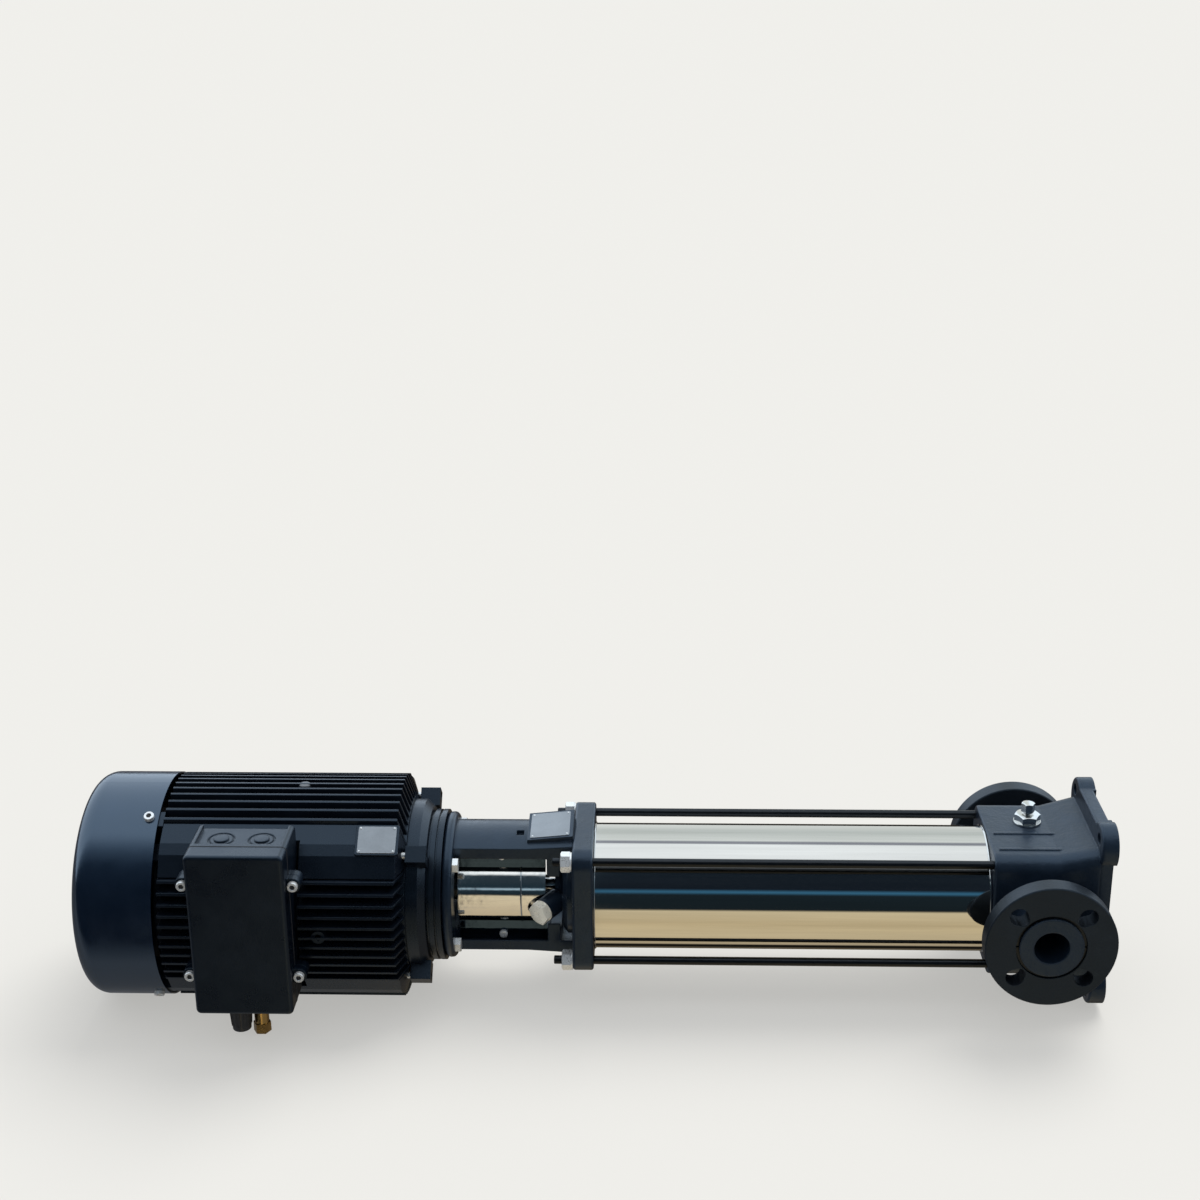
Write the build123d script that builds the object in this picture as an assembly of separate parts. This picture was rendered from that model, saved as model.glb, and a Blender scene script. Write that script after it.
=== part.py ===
from build123d import *
import os
from math import cos, radians, sin, sqrt

# A vertical multistage pump with its motor on top, in millimetres.
# +Z runs up the shaft from the underside of the base plate to the fan cover.
# The two pipe ports lie on the Y axis, and the terminal box looks along -Y.

os.makedirs("parts", exist_ok=True)

# Clearances between pieces
fit_gap = 0.1        # a piece seated in a recess or a bolt in its hole
shaft_gap = 0.05     # a shaft in a bush or a bearing
running_gap = 0.6    # a turning piece beside a fixed wall
loose_gap = 0.5      # the loose pipe flange on its neck

# Pipe ports and loose flanges
port_height = 80.0
port_reach = 140.0
port_bore_radius = 20.0
port_wall = 6.0
neck_radius = 36.5
flange_radius = 75.0
flange_thick = 23.0
flange_setback = 1.5
flange_hole_circle_radius = 55.0
flange_hole_radius = 10.5
flange_relief_radius = 8.0
flange_relief_offset = 5.5
retaining_ring_width = 6.0
retaining_ring_depth = 3.6
retaining_ring_bite = 2.8
retaining_ring_setback = 4.0

# Base casting
plate_length = 232.0
plate_width = 172.0
plate_corner = 26.0
plate_thick = 19.0
foot_spacing_long = 200.0
foot_spacing_wide = 130.0
foot_hole_radius = 7.0
foot_relief = 4.0
rim_setback = 5.0
plate_edge_round = 3.0
body_half = 78.0
body_corner = 18.0
body_rise = 57.0
flare_reach = 10.0
flare_side_reach = 4.0
flare_rise = 46.0
cavity_radius = 66.0
cavity_floor = 38.0
bowl_radius = 46.0
bowl_wall = 6.0
bowl_rise = 60.0
ridge_spacing = 40.0
ridge_middle = -30.0
ridge_height = 1.2
ridge_width = 5.0

# Drain plug and bypass spindle
drain_side = 20.0
drain_rise = 4.0
drain_thread_radius = 10.0
drain_flats = 27.0
drain_hex_height = 9.0
drain_collar_radius = 16.5
drain_collar_height = 2.5
spindle_radius = 4.5
spindle_flats = 14.0
spindle_head = 11.0
spindle_lift = 3.0
spindle_bite = 14.0

# Sleeve and staybolts
sleeve_radius = 74.5
sleeve_wall = 2.0
sleeve_seat = 6.0
seal_thick = 3.0
staybolt_offset = 65.0
staybolt_radius = 5.0
staybolt_bite = 28.0
nut_flats = 21.0
nut_height = 11.0
washer_radius = 11.5
washer_thick = 2.2
stud_end = 9.0

# Stages
stage_count = 9
stage_pitch = 45.0
inlet_thick = 10.0
discharge_length = 45.5
chamber_radius = 64.0
chamber_wall = 2.5
chamber_floor = 3.0
eye_radius = 24.0
impeller_radius = 57.0
impeller_hub_radius = 13.0
impeller_lift = 6.0
impeller_height = 21.0
shroud_thick = 2.5
blade_count = 6
blade_thick = 2.5
vane_count = 6

# Pump shaft and its seal
pump_shaft_radius = 8.0
bush_radius = 14.0
seal_ring_radius = 19.0
seal_face_height = 10.0

# Pump head cover
cover_flange_radius = 70.0
cover_flange_thick = 12.0
cover_dome_radius = 57.5
cover_neck_radius = 27.0
cover_neck_rise = 40.0
cover_wall = 7.0
cover_dome_rise = 12.0
plug_boss_radius = 14.0
plug_boss_start = 36.0
plug_boss_reach = 59.0
plug_boss_tilt = 38.0
plug_boss_turn = -10.0
plug_flats = 25.0
plug_height = 9.0
plug_thread_radius = 9.0

# Motor stool
head_half = 79.0
head_corner = 20.0
head_thick = 24.5
stool_height = 152.5
stool_leg_radius = 78.0
stool_leg_wall = 11.0
stool_leg_half_width = 39.0
stool_rib_inner = 46.0
stool_rib_half_width = 23.5
stool_flare_rise = 55.0
stool_flare_reach = 3.0
stool_flange_radius = 87.0
stool_flange_thick = 12.0
cast_edge_round = 3.0
name_pad_low_face = 86.0
name_pad_high_face = 80.0
name_pad_rise = 54.0
name_pad_start = -32.0
name_pad_end = 22.0
name_pad_turn = -9.0
stool_web_inner = 50.0
stool_web_rise = 16.0
stool_lip_round = 5.0
leg_notch_size = 9.0
leg_notch_side = -14.0
leg_notch_rise = 63.0
spigot_radius = 55.0
spigot_depth = 6.0
stool_bolt_circle_radius = 75.0
stool_bolt_radius = 5.0
stool_bolt_flats = 16.0
stool_bolt_head = 6.5
stool_bolt_bite = 16.0

# Coupling and guards
coupling_radius = 36.0
coupling_slit = 1.5
coupling_low_gap = 17.0
coupling_shaft_bite = 36.0
coupling_motor_bite = 44.0
coupling_screw_radius = 4.0
coupling_screw_offset = 25.0
coupling_screw_face = 20.0
guard_radius = 44.0
guard_sheet = 1.5
guard_margin = 3.0
guard_low_gap = 33.0
guard_flange_edge = 60.0
guard_notch_gap = 4.0
guard_screw_radius = 2.5
guard_screw_x = 52.5

# Motor
shield_face_radius = 90.0
shield_radius = 102.0
shield_length = 40.0
shield_groove = 3.0
shield_rings = 2
shield_ring_height = 6.0
shield_ring_pitch = 8.5
lug_reach = 119.0
lug_width = 20.0
lug_height = 25.0
frame_length = 281.5
frame_core_radius = 106.0
frame_bore_radius = 95.0
fin_tip_radius = 133.0
fin_thick = 3.0
fin_pitch = 12.6
fin_group_half = 68.0
fin_end_slant = 10.0
corner_inner = 88.0
corner_outer = 112.0
corner_foot = 66.0
tie_rod_radius = 4.0
tie_rod_place_radius = 112.0
shield_spigot = 8.0
rear_shield_thick = 10.0
bearing_bore_radius = 20.0
bearing_radius = 45.0
bearing_width = 23.0
bearing_ring = 6.5
ball_radius = 5.7
ball_count = 8
motor_shaft_radius = 19.0
rotor_radius = 59.4
air_gap = 0.6
core_length = 180.0
winding_length = 30.0
boss_radius = 8.0
high_boss_rise = 127.0
low_boss_rise = 97.0

# Fan and fan cover
fan_radius = 110.0
fan_hub_radius = 26.0
fan_hub_length = 30.0
fan_blade_count = 7
fan_blade_thick = 3.0
fan_seat_radius = 14.0
cover_radius = 133.4
cover_sheet = 2.0
cover_length = 97.0
cover_round = 22.0
cover_gap = 6.0
cover_screw_rise = 11.0
cover_screw_radius = 3.0
cover_screw_angles = (-28, 43, 152, 223)
cover_seat_gap = 0.3
cover_lug_above = 8.0
grille_spokes = 8
grille_rings = 5
grille_inner = 22.0
grille_slot = 9.0
grille_bar = 5.5

# Terminal box
box_offset = 23.0
box_half_long = 101.0
box_half_wide = 56.0
box_centre_rise = 178.5
box_sink = 14.0
box_saddle_stand = 6.0
box_split_stand = 12.0
box_lid_depth = 25.0
box_wall = 4.0
box_end_wall = 9.0
box_end_rib = 7.0
box_end_recess = 4.5
box_corner = 6.0
ear_radius = 8.5
ear_offset_long = 58.0
ear_centre_out = 6.5
ear_lid_thick = 10.0
ear_screw_radius = 3.0
knockout_radius = 15.5
knockout_spacing = 46.0
knockout_groove = 1.5
gland_depth = 38.0
gland_offset = 14.5
gland_radius = 13.0
gland_length = 42.0
gland_nut_flats = 22.0
gland_nut_height = 10.0
brass_depth = 28.0
brass_offset = -7.0
brass_radius = 8.5
brass_length = 52.0
brass_nut_flats = 18.0
brass_nut_height = 12.0

# Levels along the shaft, worked out from the lengths above
body_top = port_height + body_rise
inlet_level = port_height + bowl_rise
stage_level = inlet_level + inlet_thick
stage_top = stage_level + stage_count * stage_pitch
head_level = stage_top + discharge_length
head_top = head_level + head_thick
motor_level = head_top + stool_height
frame_level = motor_level + shield_length
frame_top = frame_level + frame_length
cover_level = frame_top + cover_gap
cover_top = cover_level + cover_length
cover_top_level = head_level + cover_neck_rise + cover_wall + 5
coupling_level = cover_top_level + coupling_low_gap
shaft_meeting = coupling_level + coupling_shaft_bite
coupling_top = shaft_meeting + coupling_motor_bite
front_bearing_level = motor_level + 10
rear_bearing_level = frame_top - bearing_width + shield_spigot + 5
core_level = frame_level + (frame_length - core_length) / 2
box_level = frame_level + box_centre_rise
screw_level = cover_level + cover_screw_rise
fan_level = screw_level + cover_lug_above + 5
seal_level = head_level + cover_neck_rise - seal_face_height
hub_stack_top = stage_top + impeller_lift
guard_level = head_top + guard_low_gap
guard_high = motor_level - stool_flange_thick - guard_margin

# Reaches from the shaft axis, worked out from the lengths above
sleeve_bore = sleeve_radius - sleeve_wall
box_saddle_radius = frame_core_radius + box_saddle_stand
box_back = frame_core_radius - box_sink
box_split = fin_tip_radius + box_split_stand
box_front = box_split + box_lid_depth
box_floor = box_saddle_radius + box_wall
ear_low = fin_tip_radius + 1
ear_offset_wide = box_half_wide + ear_centre_out


def tube(outer, inner, low, high):
    """A hollow cylinder about the shaft axis."""
    return Pos(0, 0, low) * extrude(Circle(outer) - Circle(inner), high - low)


def rod(radius, low, high):
    """A solid cylinder about the shaft axis."""
    return Pos(0, 0, low) * extrude(Circle(radius), high - low)


def rod_along_y(radius, start, end, height):
    """A solid cylinder parallel to the Y axis, from start to end."""
    length = end - start
    return Pos(0, (start + end) / 2, height) * Rot(90, 0, 0) * Cylinder(radius, length)


def turned(points):
    """A solid turned about the shaft axis from radius and height pairs."""
    outline = make_face(Plane.XZ * Polyline(*points, close=True))
    return revolve(outline, Axis.Z)


def block(low, high):
    """A box between two corners."""
    size = [b - a for a, b in zip(low, high)]
    centre = [(a + b) / 2 for a, b in zip(low, high)]
    return Pos(*centre) * Box(*size)


def hexagon(flats, height):
    """A hexagonal prism standing on the XY plane."""
    return extrude(RegularPolygon(flats / 2, 6, major_radius=False), height)


def square_places(offset):
    """The four places at a distance from both axes."""
    return [Pos(x, y, 0) for x in (-offset, offset) for y in (-offset, offset)]


def diagonal_places(radius):
    """The four places on a circle, at 45 degrees to the axes."""
    return square_places(radius / sqrt(2))


def joined(solids):
    """Several separate solids kept as one sub-part."""
    return Compound(children=list(solids))


def save(name, shape):
    """Write one sub-part to its own file."""
    export_step(shape, f"parts/{name}.step")


# Pump base
def port_side(shape, side):
    """A shape made for the +Y port, turned to the port named by side."""
    return shape if side > 0 else Rot(0, 0, 180) * shape


def port_neck():
    """The neck of one port, with the groove that holds the retaining ring."""
    neck = rod_along_y(neck_radius, body_half - body_corner, port_reach, port_height)
    groove_end = port_reach - retaining_ring_setback + fit_gap
    groove_start = groove_end - retaining_ring_width - 2 * fit_gap
    groove = rod_along_y(neck_radius + 1, groove_start, groove_end, port_height)
    groove -= rod_along_y(neck_radius - retaining_ring_bite - fit_gap, groove_start, groove_end, port_height)
    return neck - groove


def base_plate():
    """The foot plate: a round lobe at each corner, and a rim set back between the lobes."""
    section = RectangleRounded(
        plate_length - 2 * rim_setback,
        plate_width - 2 * rim_setback,
        plate_corner - rim_setback,
    )
    for x in (-1, 1):
        for y in (-1, 1):
            corner = Pos(x * (plate_length / 2 - plate_corner), y * (plate_width / 2 - plate_corner))
            section += corner * Circle(plate_corner)
    plate = extrude(section, plate_thick)
    return fillet(plate.faces().sort_by(Axis.Z)[-1].edges(), plate_edge_round)


def base_ridges():
    """Two low ridges along the shaft on the +X face, beside the drain plug."""
    low = plate_thick + flare_rise / 2
    return [
        block(
            (body_half - 1, ridge_middle + way * ridge_spacing / 2 - ridge_width / 2, low),
            (body_half + ridge_height, ridge_middle + way * ridge_spacing / 2 + ridge_width / 2, body_top - 8),
        )
        for way in (-1, 1)
    ]


def base_casting():
    plate = base_plate()
    foot_places = [Pos(x * foot_spacing_long / 2, y * foot_spacing_wide / 2, 0) for x in (-1, 1) for y in (-1, 1)]
    pad_long = foot_spacing_long - 2 * plate_corner
    pad_wide = foot_spacing_wide - 2 * plate_corner
    plate -= Box(pad_long, plate_width + 2, 2 * foot_relief)
    plate -= Box(plate_length + 2, pad_wide, 2 * foot_relief)
    section = RectangleRounded(2 * body_half, 2 * body_half, body_corner)
    column = Pos(0, 0, plate_thick / 2) * extrude(section, body_top - plate_thick / 2)
    column = fillet(column.faces().sort_by(Axis.Z)[-1].edges(), cast_edge_round)
    low_section = RectangleRounded(2 * (body_half + flare_reach), 2 * (body_half + flare_side_reach), body_corner)
    high_section = RectangleRounded(2 * body_half - 2, 2 * body_half - 2, body_corner - 1)
    flare = loft([
        Pos(0, 0, plate_thick - 1) * low_section,
        Pos(0, 0, plate_thick + 1) * low_section,
        Pos(0, 0, plate_thick + flare_rise) * high_section,
    ], ruled=True)
    body = plate + flare + column
    for ridge in base_ridges():
        body += ridge
    for side in (-1, 1):
        body += port_side(port_neck(), side)
    body -= rod(cavity_radius, cavity_floor, body_top)
    body -= rod(sleeve_radius + fit_gap, body_top - sleeve_seat - seal_thick, body_top)
    bowl_bore = bowl_radius - bowl_wall
    body += rod(bowl_radius, cavity_floor - 1, inlet_level)
    body += rod_along_y(port_bore_radius + port_wall, -cavity_radius - 3, -bowl_bore / 2, port_height)
    body -= rod(bowl_bore, cavity_floor, inlet_level)
    body -= rod_along_y(port_bore_radius, -port_reach, -bowl_bore / 2, port_height)
    body -= rod_along_y(port_bore_radius, bowl_radius + bowl_wall, port_reach, port_height)
    for place in foot_places:
        body -= place * Cylinder(foot_hole_radius, 4 * plate_thick)
    hole_depth = staybolt_bite + 2
    for place in square_places(staybolt_offset):
        body -= place * rod(staybolt_radius + fit_gap, body_top - hole_depth, body_top)
    body -= drain_place() * Cylinder(drain_thread_radius + fit_gap, 2 * (body_half - bowl_radius) - 6)
    return body


def drain_place():
    """The seat of the drain plug, on the +X side, with local Z pointing out of the casting."""
    return Pos(body_half, drain_side, port_height + drain_rise) * Rot(0, 90, 0)


def drain_plug():
    wall = body_half - cavity_radius
    plug = Pos(0, 0, -wall + 1) * extrude(Circle(drain_thread_radius), wall - 1)
    plug += extrude(Circle(drain_collar_radius), drain_collar_height)
    plug += Pos(0, 0, drain_collar_height) * hexagon(drain_flats, drain_hex_height)
    top = drain_collar_height + drain_hex_height
    plug -= Pos(0, 0, top - spindle_bite) * extrude(Circle(spindle_radius + shaft_gap), spindle_bite)
    return drain_place() * plug


def bypass_spindle():
    top = drain_collar_height + drain_hex_height
    spindle = Pos(0, 0, top - spindle_bite + 1) * extrude(Circle(spindle_radius), spindle_bite - 1 + spindle_lift)
    spindle += Pos(0, 0, top + spindle_lift) * hexagon(spindle_flats, spindle_head)
    return drain_place() * spindle


def loose_flange(side):
    """A loose pipe flange for the port named by side, with four holes that also reach a smaller bolt circle."""
    face = port_reach - flange_setback
    back = face - flange_thick
    seat = port_reach - retaining_ring_setback - retaining_ring_width - fit_gap
    flange = rod_along_y(flange_radius, back, face, port_height)
    flange = chamfer(flange.edges().filter_by(GeomType.CIRCLE), 1.2)
    flange -= rod_along_y(neck_radius + loose_gap, back, face, port_height)
    flange -= rod_along_y(neck_radius + retaining_ring_depth, seat, face, port_height)
    for angle in (45, 135, 225, 315):
        for radius, reach in (
            (flange_hole_radius, flange_hole_circle_radius),
            (flange_relief_radius, flange_hole_circle_radius - flange_relief_offset),
        ):
            x = reach * cos(radians(angle))
            z = reach * sin(radians(angle))
            flange -= Pos(x, 0, z) * rod_along_y(radius, back, face, port_height)
    return port_side(flange, side)


def retaining_rings():
    """Each port's ring in two halves, held in the groove of the neck."""
    end = port_reach - retaining_ring_setback
    start = end - retaining_ring_width
    inner = neck_radius - retaining_ring_bite
    outer = neck_radius + retaining_ring_depth - 0.4
    ring = rod_along_y(outer, start, end, port_height) - rod_along_y(inner, start, end, port_height)
    slit = 1.0
    halves = []
    for side in (-1, 1):
        for way in (-1, 1):
            half = ring & block(
                (min(way * slit, way * 2 * outer), 0, 0),
                (max(way * slit, way * 2 * outer), 2 * port_reach, 2 * port_height),
            )
            halves.append(port_side(half, side))
    return joined(halves)


# Sleeve, staybolts and stages
def outer_sleeve():
    return tube(sleeve_radius, sleeve_bore, body_top - sleeve_seat, head_level + sleeve_seat)


def sleeve_seals():
    low = body_top - sleeve_seat
    high = head_level + sleeve_seat
    return joined([
        tube(sleeve_radius, sleeve_bore, low - seal_thick, low),
        tube(sleeve_radius, sleeve_bore, high, high + seal_thick),
    ])


def staybolt_places():
    return square_places(staybolt_offset)


def staybolts():
    top = head_top + washer_thick + nut_height + stud_end
    return joined([place * rod(staybolt_radius, body_top - staybolt_bite, top) for place in staybolt_places()])


def staybolt_washers():
    return joined([
        place * tube(washer_radius, staybolt_radius + fit_gap, head_top, head_top + washer_thick)
        for place in staybolt_places()
    ])


def staybolt_nuts():
    nut = hexagon(nut_flats, nut_height) - Cylinder(staybolt_radius + fit_gap, 3 * nut_height)
    return joined([place * Pos(0, 0, head_top + washer_thick) * nut for place in staybolt_places()])


def inlet_guide():
    """The disc under the first stage, with the bush that steadies the foot of the shaft."""
    guide = tube(chamber_radius, eye_radius, inlet_level, stage_level)
    guide += tube(bush_radius, pump_shaft_radius + shaft_gap, inlet_level, stage_level)
    for angle in (0, 120, 240):
        spoke = block((bush_radius - 1, -2.5, inlet_level), (eye_radius + 1, 2.5, stage_level))
        guide += Rot(0, 0, angle) * spoke
    return guide


def stage_chamber(level):
    """One chamber: a cup whose upper plate and vanes lead the water back to the next eye."""
    plate_low = level + impeller_lift + impeller_height + 2 * running_gap + 3
    plate_high = plate_low + chamber_floor
    top = level + stage_pitch
    chamber = tube(chamber_radius, chamber_radius - chamber_wall, level, top)
    chamber += tube(chamber_radius, eye_radius, level, level + chamber_floor)
    chamber += tube(impeller_radius - 4, impeller_hub_radius + 2 * running_gap, plate_low, plate_high)
    vane = block((eye_radius + 2, -chamber_wall / 2, plate_low), (chamber_radius - 1, chamber_wall / 2, top))
    for index in range(vane_count):
        chamber += Rot(0, 0, index * 360 / vane_count) * vane
    return chamber


def impeller(level):
    """One closed impeller: two shrouds with curved blades between them."""
    low = level + impeller_lift
    high = low + impeller_height
    hub_bore = pump_shaft_radius + shaft_gap
    eye_lip = eye_radius - running_gap
    wheel = tube(impeller_radius, eye_lip - shroud_thick, low, low + shroud_thick)
    wheel += tube(eye_lip, eye_lip - shroud_thick, level + 1, low + shroud_thick)
    wheel += tube(impeller_radius, hub_bore, high - shroud_thick, high)
    wheel += tube(impeller_hub_radius, hub_bore, low, low + stage_pitch)
    arc_radius = (impeller_radius + 4) / 2
    arc_place = impeller_radius - arc_radius
    blade = Pos(arc_place, 0) * (Circle(arc_radius + blade_thick / 2) - Circle(arc_radius - blade_thick / 2))
    blade &= Circle(impeller_radius - 0.5) - Circle(eye_radius - 2)
    blade &= Pos(0, impeller_radius) * Rectangle(4 * impeller_radius, 2 * impeller_radius)
    blades = [Rot(0, 0, index * 360 / blade_count) * blade for index in range(blade_count)]
    for item in blades:
        wheel += Pos(0, 0, low + shroud_thick - 0.5) * extrude(item, impeller_height - 2 * shroud_thick + 1)
    return wheel


def discharge_guide():
    """The ring above the last stage, open all round to the gap inside the sleeve."""
    guide = tube(chamber_radius, chamber_radius - chamber_wall, stage_top, head_level)
    guide += tube(chamber_radius, impeller_hub_radius + 2 * running_gap, stage_top, stage_top + chamber_floor)
    window_low = stage_top + 3 * chamber_floor
    window_high = head_level - 2 * chamber_floor
    for index in range(vane_count):
        window = block(
            (chamber_radius / 2, -chamber_radius / 3, window_low),
            (2 * chamber_radius, chamber_radius / 3, window_high),
        )
        guide -= Rot(0, 0, index * 360 / vane_count) * window
    return guide


def pump_shaft():
    shaft = rod(pump_shaft_radius, inlet_level, shaft_meeting - 1)
    collar_low = stage_level + 1
    shaft += rod(impeller_hub_radius - 1, collar_low, stage_level + impeller_lift)
    return shaft


def shaft_seal_ring():
    """The turning half of the seal, on a sleeve that stands on the hubs."""
    bore = pump_shaft_radius + shaft_gap
    ring = tube(impeller_hub_radius - 1, bore, hub_stack_top, seal_level - seal_face_height)
    return ring + tube(seal_ring_radius, bore, seal_level - seal_face_height, seal_level - shaft_gap)


def shaft_seal_seat():
    return tube(seal_ring_radius, pump_shaft_radius + 2 * running_gap, seal_level, seal_level + seal_face_height)


def plug_axis():
    """The place and direction of the priming plug's boss, local Z pointing out of the cover."""
    start = Pos(0, 0, head_top - 3) * Rot(0, 0, plug_boss_turn)
    return start * Rot(90 - plug_boss_tilt, 0, 0)


def pump_head_cover():
    low = head_level
    neck_top = low + cover_neck_rise
    dome_top = head_top + cover_dome_rise
    throat = seal_ring_radius + cover_wall / 2
    cover = turned([
        (throat, low),
        (cover_flange_radius - fit_gap, low),
        (cover_flange_radius - fit_gap, low + cover_flange_thick),
        (cover_dome_radius - fit_gap, low + cover_flange_thick),
        (cover_dome_radius - fit_gap, dome_top - 5),
        (cover_dome_radius - 6, dome_top),
        (cover_neck_radius + cover_wall, dome_top + 1),
        (cover_neck_radius, dome_top + 5),
        (cover_neck_radius, neck_top + cover_wall),
        (pump_shaft_radius + 3 * running_gap, neck_top + cover_wall),
        (pump_shaft_radius + 3 * running_gap, neck_top),
        (seal_ring_radius + fit_gap, neck_top),
        (seal_ring_radius + fit_gap, seal_level),
        (throat, seal_level - 2),
    ])
    boss_length = plug_boss_reach + 3 - plug_boss_start
    boss = plug_axis() * Pos(0, 0, plug_boss_start) * extrude(Circle(plug_boss_radius), boss_length)
    cover += boss
    cover -= plug_axis() * Pos(0, 0, plug_boss_reach - 15) * extrude(Circle(plug_thread_radius + fit_gap), 30)
    return cover


def priming_plug():
    plug = Pos(0, 0, plug_boss_reach - 10) * extrude(Circle(plug_thread_radius), 13)
    plug += Pos(0, 0, plug_boss_reach + 3) * extrude(Circle(plug_flats / 2 + 1), 2)
    plug += Pos(0, 0, plug_boss_reach + 5) * hexagon(plug_flats, plug_height)
    return plug_axis() * plug


# Motor stool, coupling and guards
def stool_legs():
    """Two curved legs that widen towards the head plate, each with a web and a rib that carries the guards."""
    leg_top = motor_level - stool_flange_thick
    inner = stool_leg_radius - stool_leg_wall
    ring = turned([
        (inner, head_top),
        (stool_leg_radius + stool_flare_reach, head_top),
        (stool_leg_radius, head_top + stool_flare_rise),
        (stool_leg_radius, leg_top),
        (inner, leg_top),
    ])
    span = 2 * stool_leg_radius
    leg_span = block((-span, -stool_leg_half_width, head_top), (span, stool_leg_half_width, leg_top))
    legs = ring & leg_span
    for angle in (0, 180):
        rib = block(
            (stool_rib_inner, -stool_rib_half_width, guard_level - guard_margin),
            (stool_leg_radius - stool_leg_wall / 2, stool_rib_half_width, leg_top),
        )
        legs += Rot(0, 0, angle) * rib
    web = tube(inner + 1, stool_web_inner, head_top + stool_web_rise, guard_level - guard_margin + 1)
    return legs + (web & leg_span)


def name_pad():
    """The sloping pad for a name plate at the foot of the +X leg."""
    back = stool_leg_radius - stool_leg_wall / 2
    side = make_face(Plane.XZ * Polyline(
        (back, head_top),
        (name_pad_low_face, head_top),
        (name_pad_high_face, head_top + name_pad_rise),
        (back, head_top + name_pad_rise),
        close=True,
    ))
    middle = (name_pad_start + name_pad_end) / 2
    pad = extrude(side, (name_pad_end - name_pad_start) / 2, both=True)
    return Pos(name_pad_high_face, middle, 0) * Rot(0, 0, name_pad_turn) * Pos(-name_pad_high_face, 0, 0) * pad


def motor_stool():
    plate = Pos(0, 0, head_level) * extrude(RectangleRounded(2 * head_half, 2 * head_half, head_corner), head_thick)
    for face in (0, -1):
        plate = fillet(plate.faces().sort_by(Axis.Z)[face].edges(), cast_edge_round)
    flange = rod(stool_flange_radius, motor_level - stool_flange_thick, motor_level)
    flange = fillet(flange.edges().filter_by(GeomType.CIRCLE), stool_lip_round)
    stool = plate + stool_legs() + name_pad() + flange
    notch = leg_notch_size / 2
    stool -= block(
        (stool_leg_radius - stool_leg_wall / 2, leg_notch_side - notch, head_top + leg_notch_rise - notch),
        (2 * stool_leg_radius, leg_notch_side + notch, head_top + leg_notch_rise + notch),
    )
    stool -= rod(spigot_radius, motor_level - stool_flange_thick, motor_level)
    stool -= rod(cover_dome_radius, head_level, head_top)
    stool -= rod(cover_flange_radius, head_level, head_level + cover_flange_thick)
    stool -= tube(sleeve_radius + fit_gap, sleeve_bore - fit_gap, head_level, head_level + sleeve_seat + seal_thick)
    for place in staybolt_places():
        stool -= place * rod(staybolt_radius + 0.5, head_level, head_top)
    for place in diagonal_places(stool_bolt_circle_radius):
        stool -= place * rod(stool_bolt_radius + 0.5, motor_level - stool_flange_thick, motor_level)
    for place in guard_screw_places():
        stool -= place * Cylinder(guard_screw_radius + fit_gap, 24)
    return stool


def guard_screw_places():
    """The screws of both guards, local Z pointing out of the rib."""
    middle = (guard_level + guard_high) / 2
    places = []
    for way in (-1, 1):
        for x in (-guard_screw_x, guard_screw_x):
            places.append(Pos(x, way * stool_rib_half_width, middle) * Rot(-way * 90, 0, 0))
    return places


def coupling_guard(way):
    """A bent stainless cover, half a cylinder with a flat strip along each side."""
    bend_y = stool_rib_half_width
    bend_x = sqrt(guard_radius ** 2 - bend_y ** 2)
    inner_radius = guard_radius - guard_sheet
    inner_x = sqrt(inner_radius ** 2 - bend_y ** 2)
    outer_strip = bend_y + guard_sheet
    outer_x = sqrt(guard_radius ** 2 - outer_strip ** 2)
    profile = Circle(guard_radius) - Circle(inner_radius)
    profile &= Pos(0, (bend_y + 2 * guard_radius) / 2 + bend_y / 2) * Rectangle(4 * guard_radius, 2 * guard_radius)
    for side in (-1, 1):
        middle = side * (inner_x + guard_flange_edge) / 2
        width = guard_flange_edge - inner_x
        profile += Pos(middle, bend_y + guard_sheet / 2) * Rectangle(width, guard_sheet)
    cover = Pos(0, 0, guard_level) * extrude(profile, guard_high - guard_level)
    notch = Circle(plug_boss_radius + guard_notch_gap)
    cover -= Rot(0, 0, 180) * plug_axis() * extrude(notch, 2 * plug_boss_reach)
    cover = cover if way > 0 else Rot(0, 0, 180) * cover
    for place in guard_screw_places():
        cover -= place * Cylinder(guard_screw_radius + fit_gap, 6 * guard_sheet)
    return cover


def guard_screws():
    screw = Pos(0, 0, guard_sheet) * extrude(Circle(2 * guard_screw_radius), 3)
    screw += Pos(0, 0, -8) * extrude(Circle(guard_screw_radius), 8 + guard_sheet)
    return joined([place * screw for place in guard_screw_places()])


def coupling_screw_places():
    """Each screw's head face on the +X half, local Z pointing out of the coupling."""
    levels = (coupling_level + coupling_shaft_bite / 2, coupling_top - coupling_motor_bite / 2)
    return [
        Pos(coupling_screw_face, y, level) * Rot(0, 90, 0)
        for level in levels for y in (-coupling_screw_offset, coupling_screw_offset)
    ]


def coupling_half(side):
    """One half of the split muff that clamps both shafts."""
    muff = rod(coupling_radius, coupling_level, coupling_top)
    muff -= rod(pump_shaft_radius + shaft_gap, coupling_level, shaft_meeting)
    muff -= rod(motor_shaft_radius + shaft_gap, shaft_meeting, coupling_top)
    near = side * coupling_slit / 2
    far = side * 2 * coupling_radius
    half = muff & block(
        (min(near, far), -2 * coupling_radius, coupling_level - 1),
        (max(near, far), 2 * coupling_radius, coupling_top + 1),
    )
    for place in coupling_screw_places():
        half -= place * Cylinder(coupling_screw_radius + fit_gap, 4 * coupling_screw_face)
        half -= place * extrude(Circle(2 * coupling_screw_radius), coupling_radius)
    return half


def coupling_screws():
    head = extrude(Circle(2 * coupling_screw_radius - 0.5), coupling_screw_radius * 1.6)
    shank_length = 2 * coupling_screw_face - 4
    head += Pos(0, 0, -shank_length) * extrude(Circle(coupling_screw_radius), shank_length)
    return joined([place * head for place in coupling_screw_places()])


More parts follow.
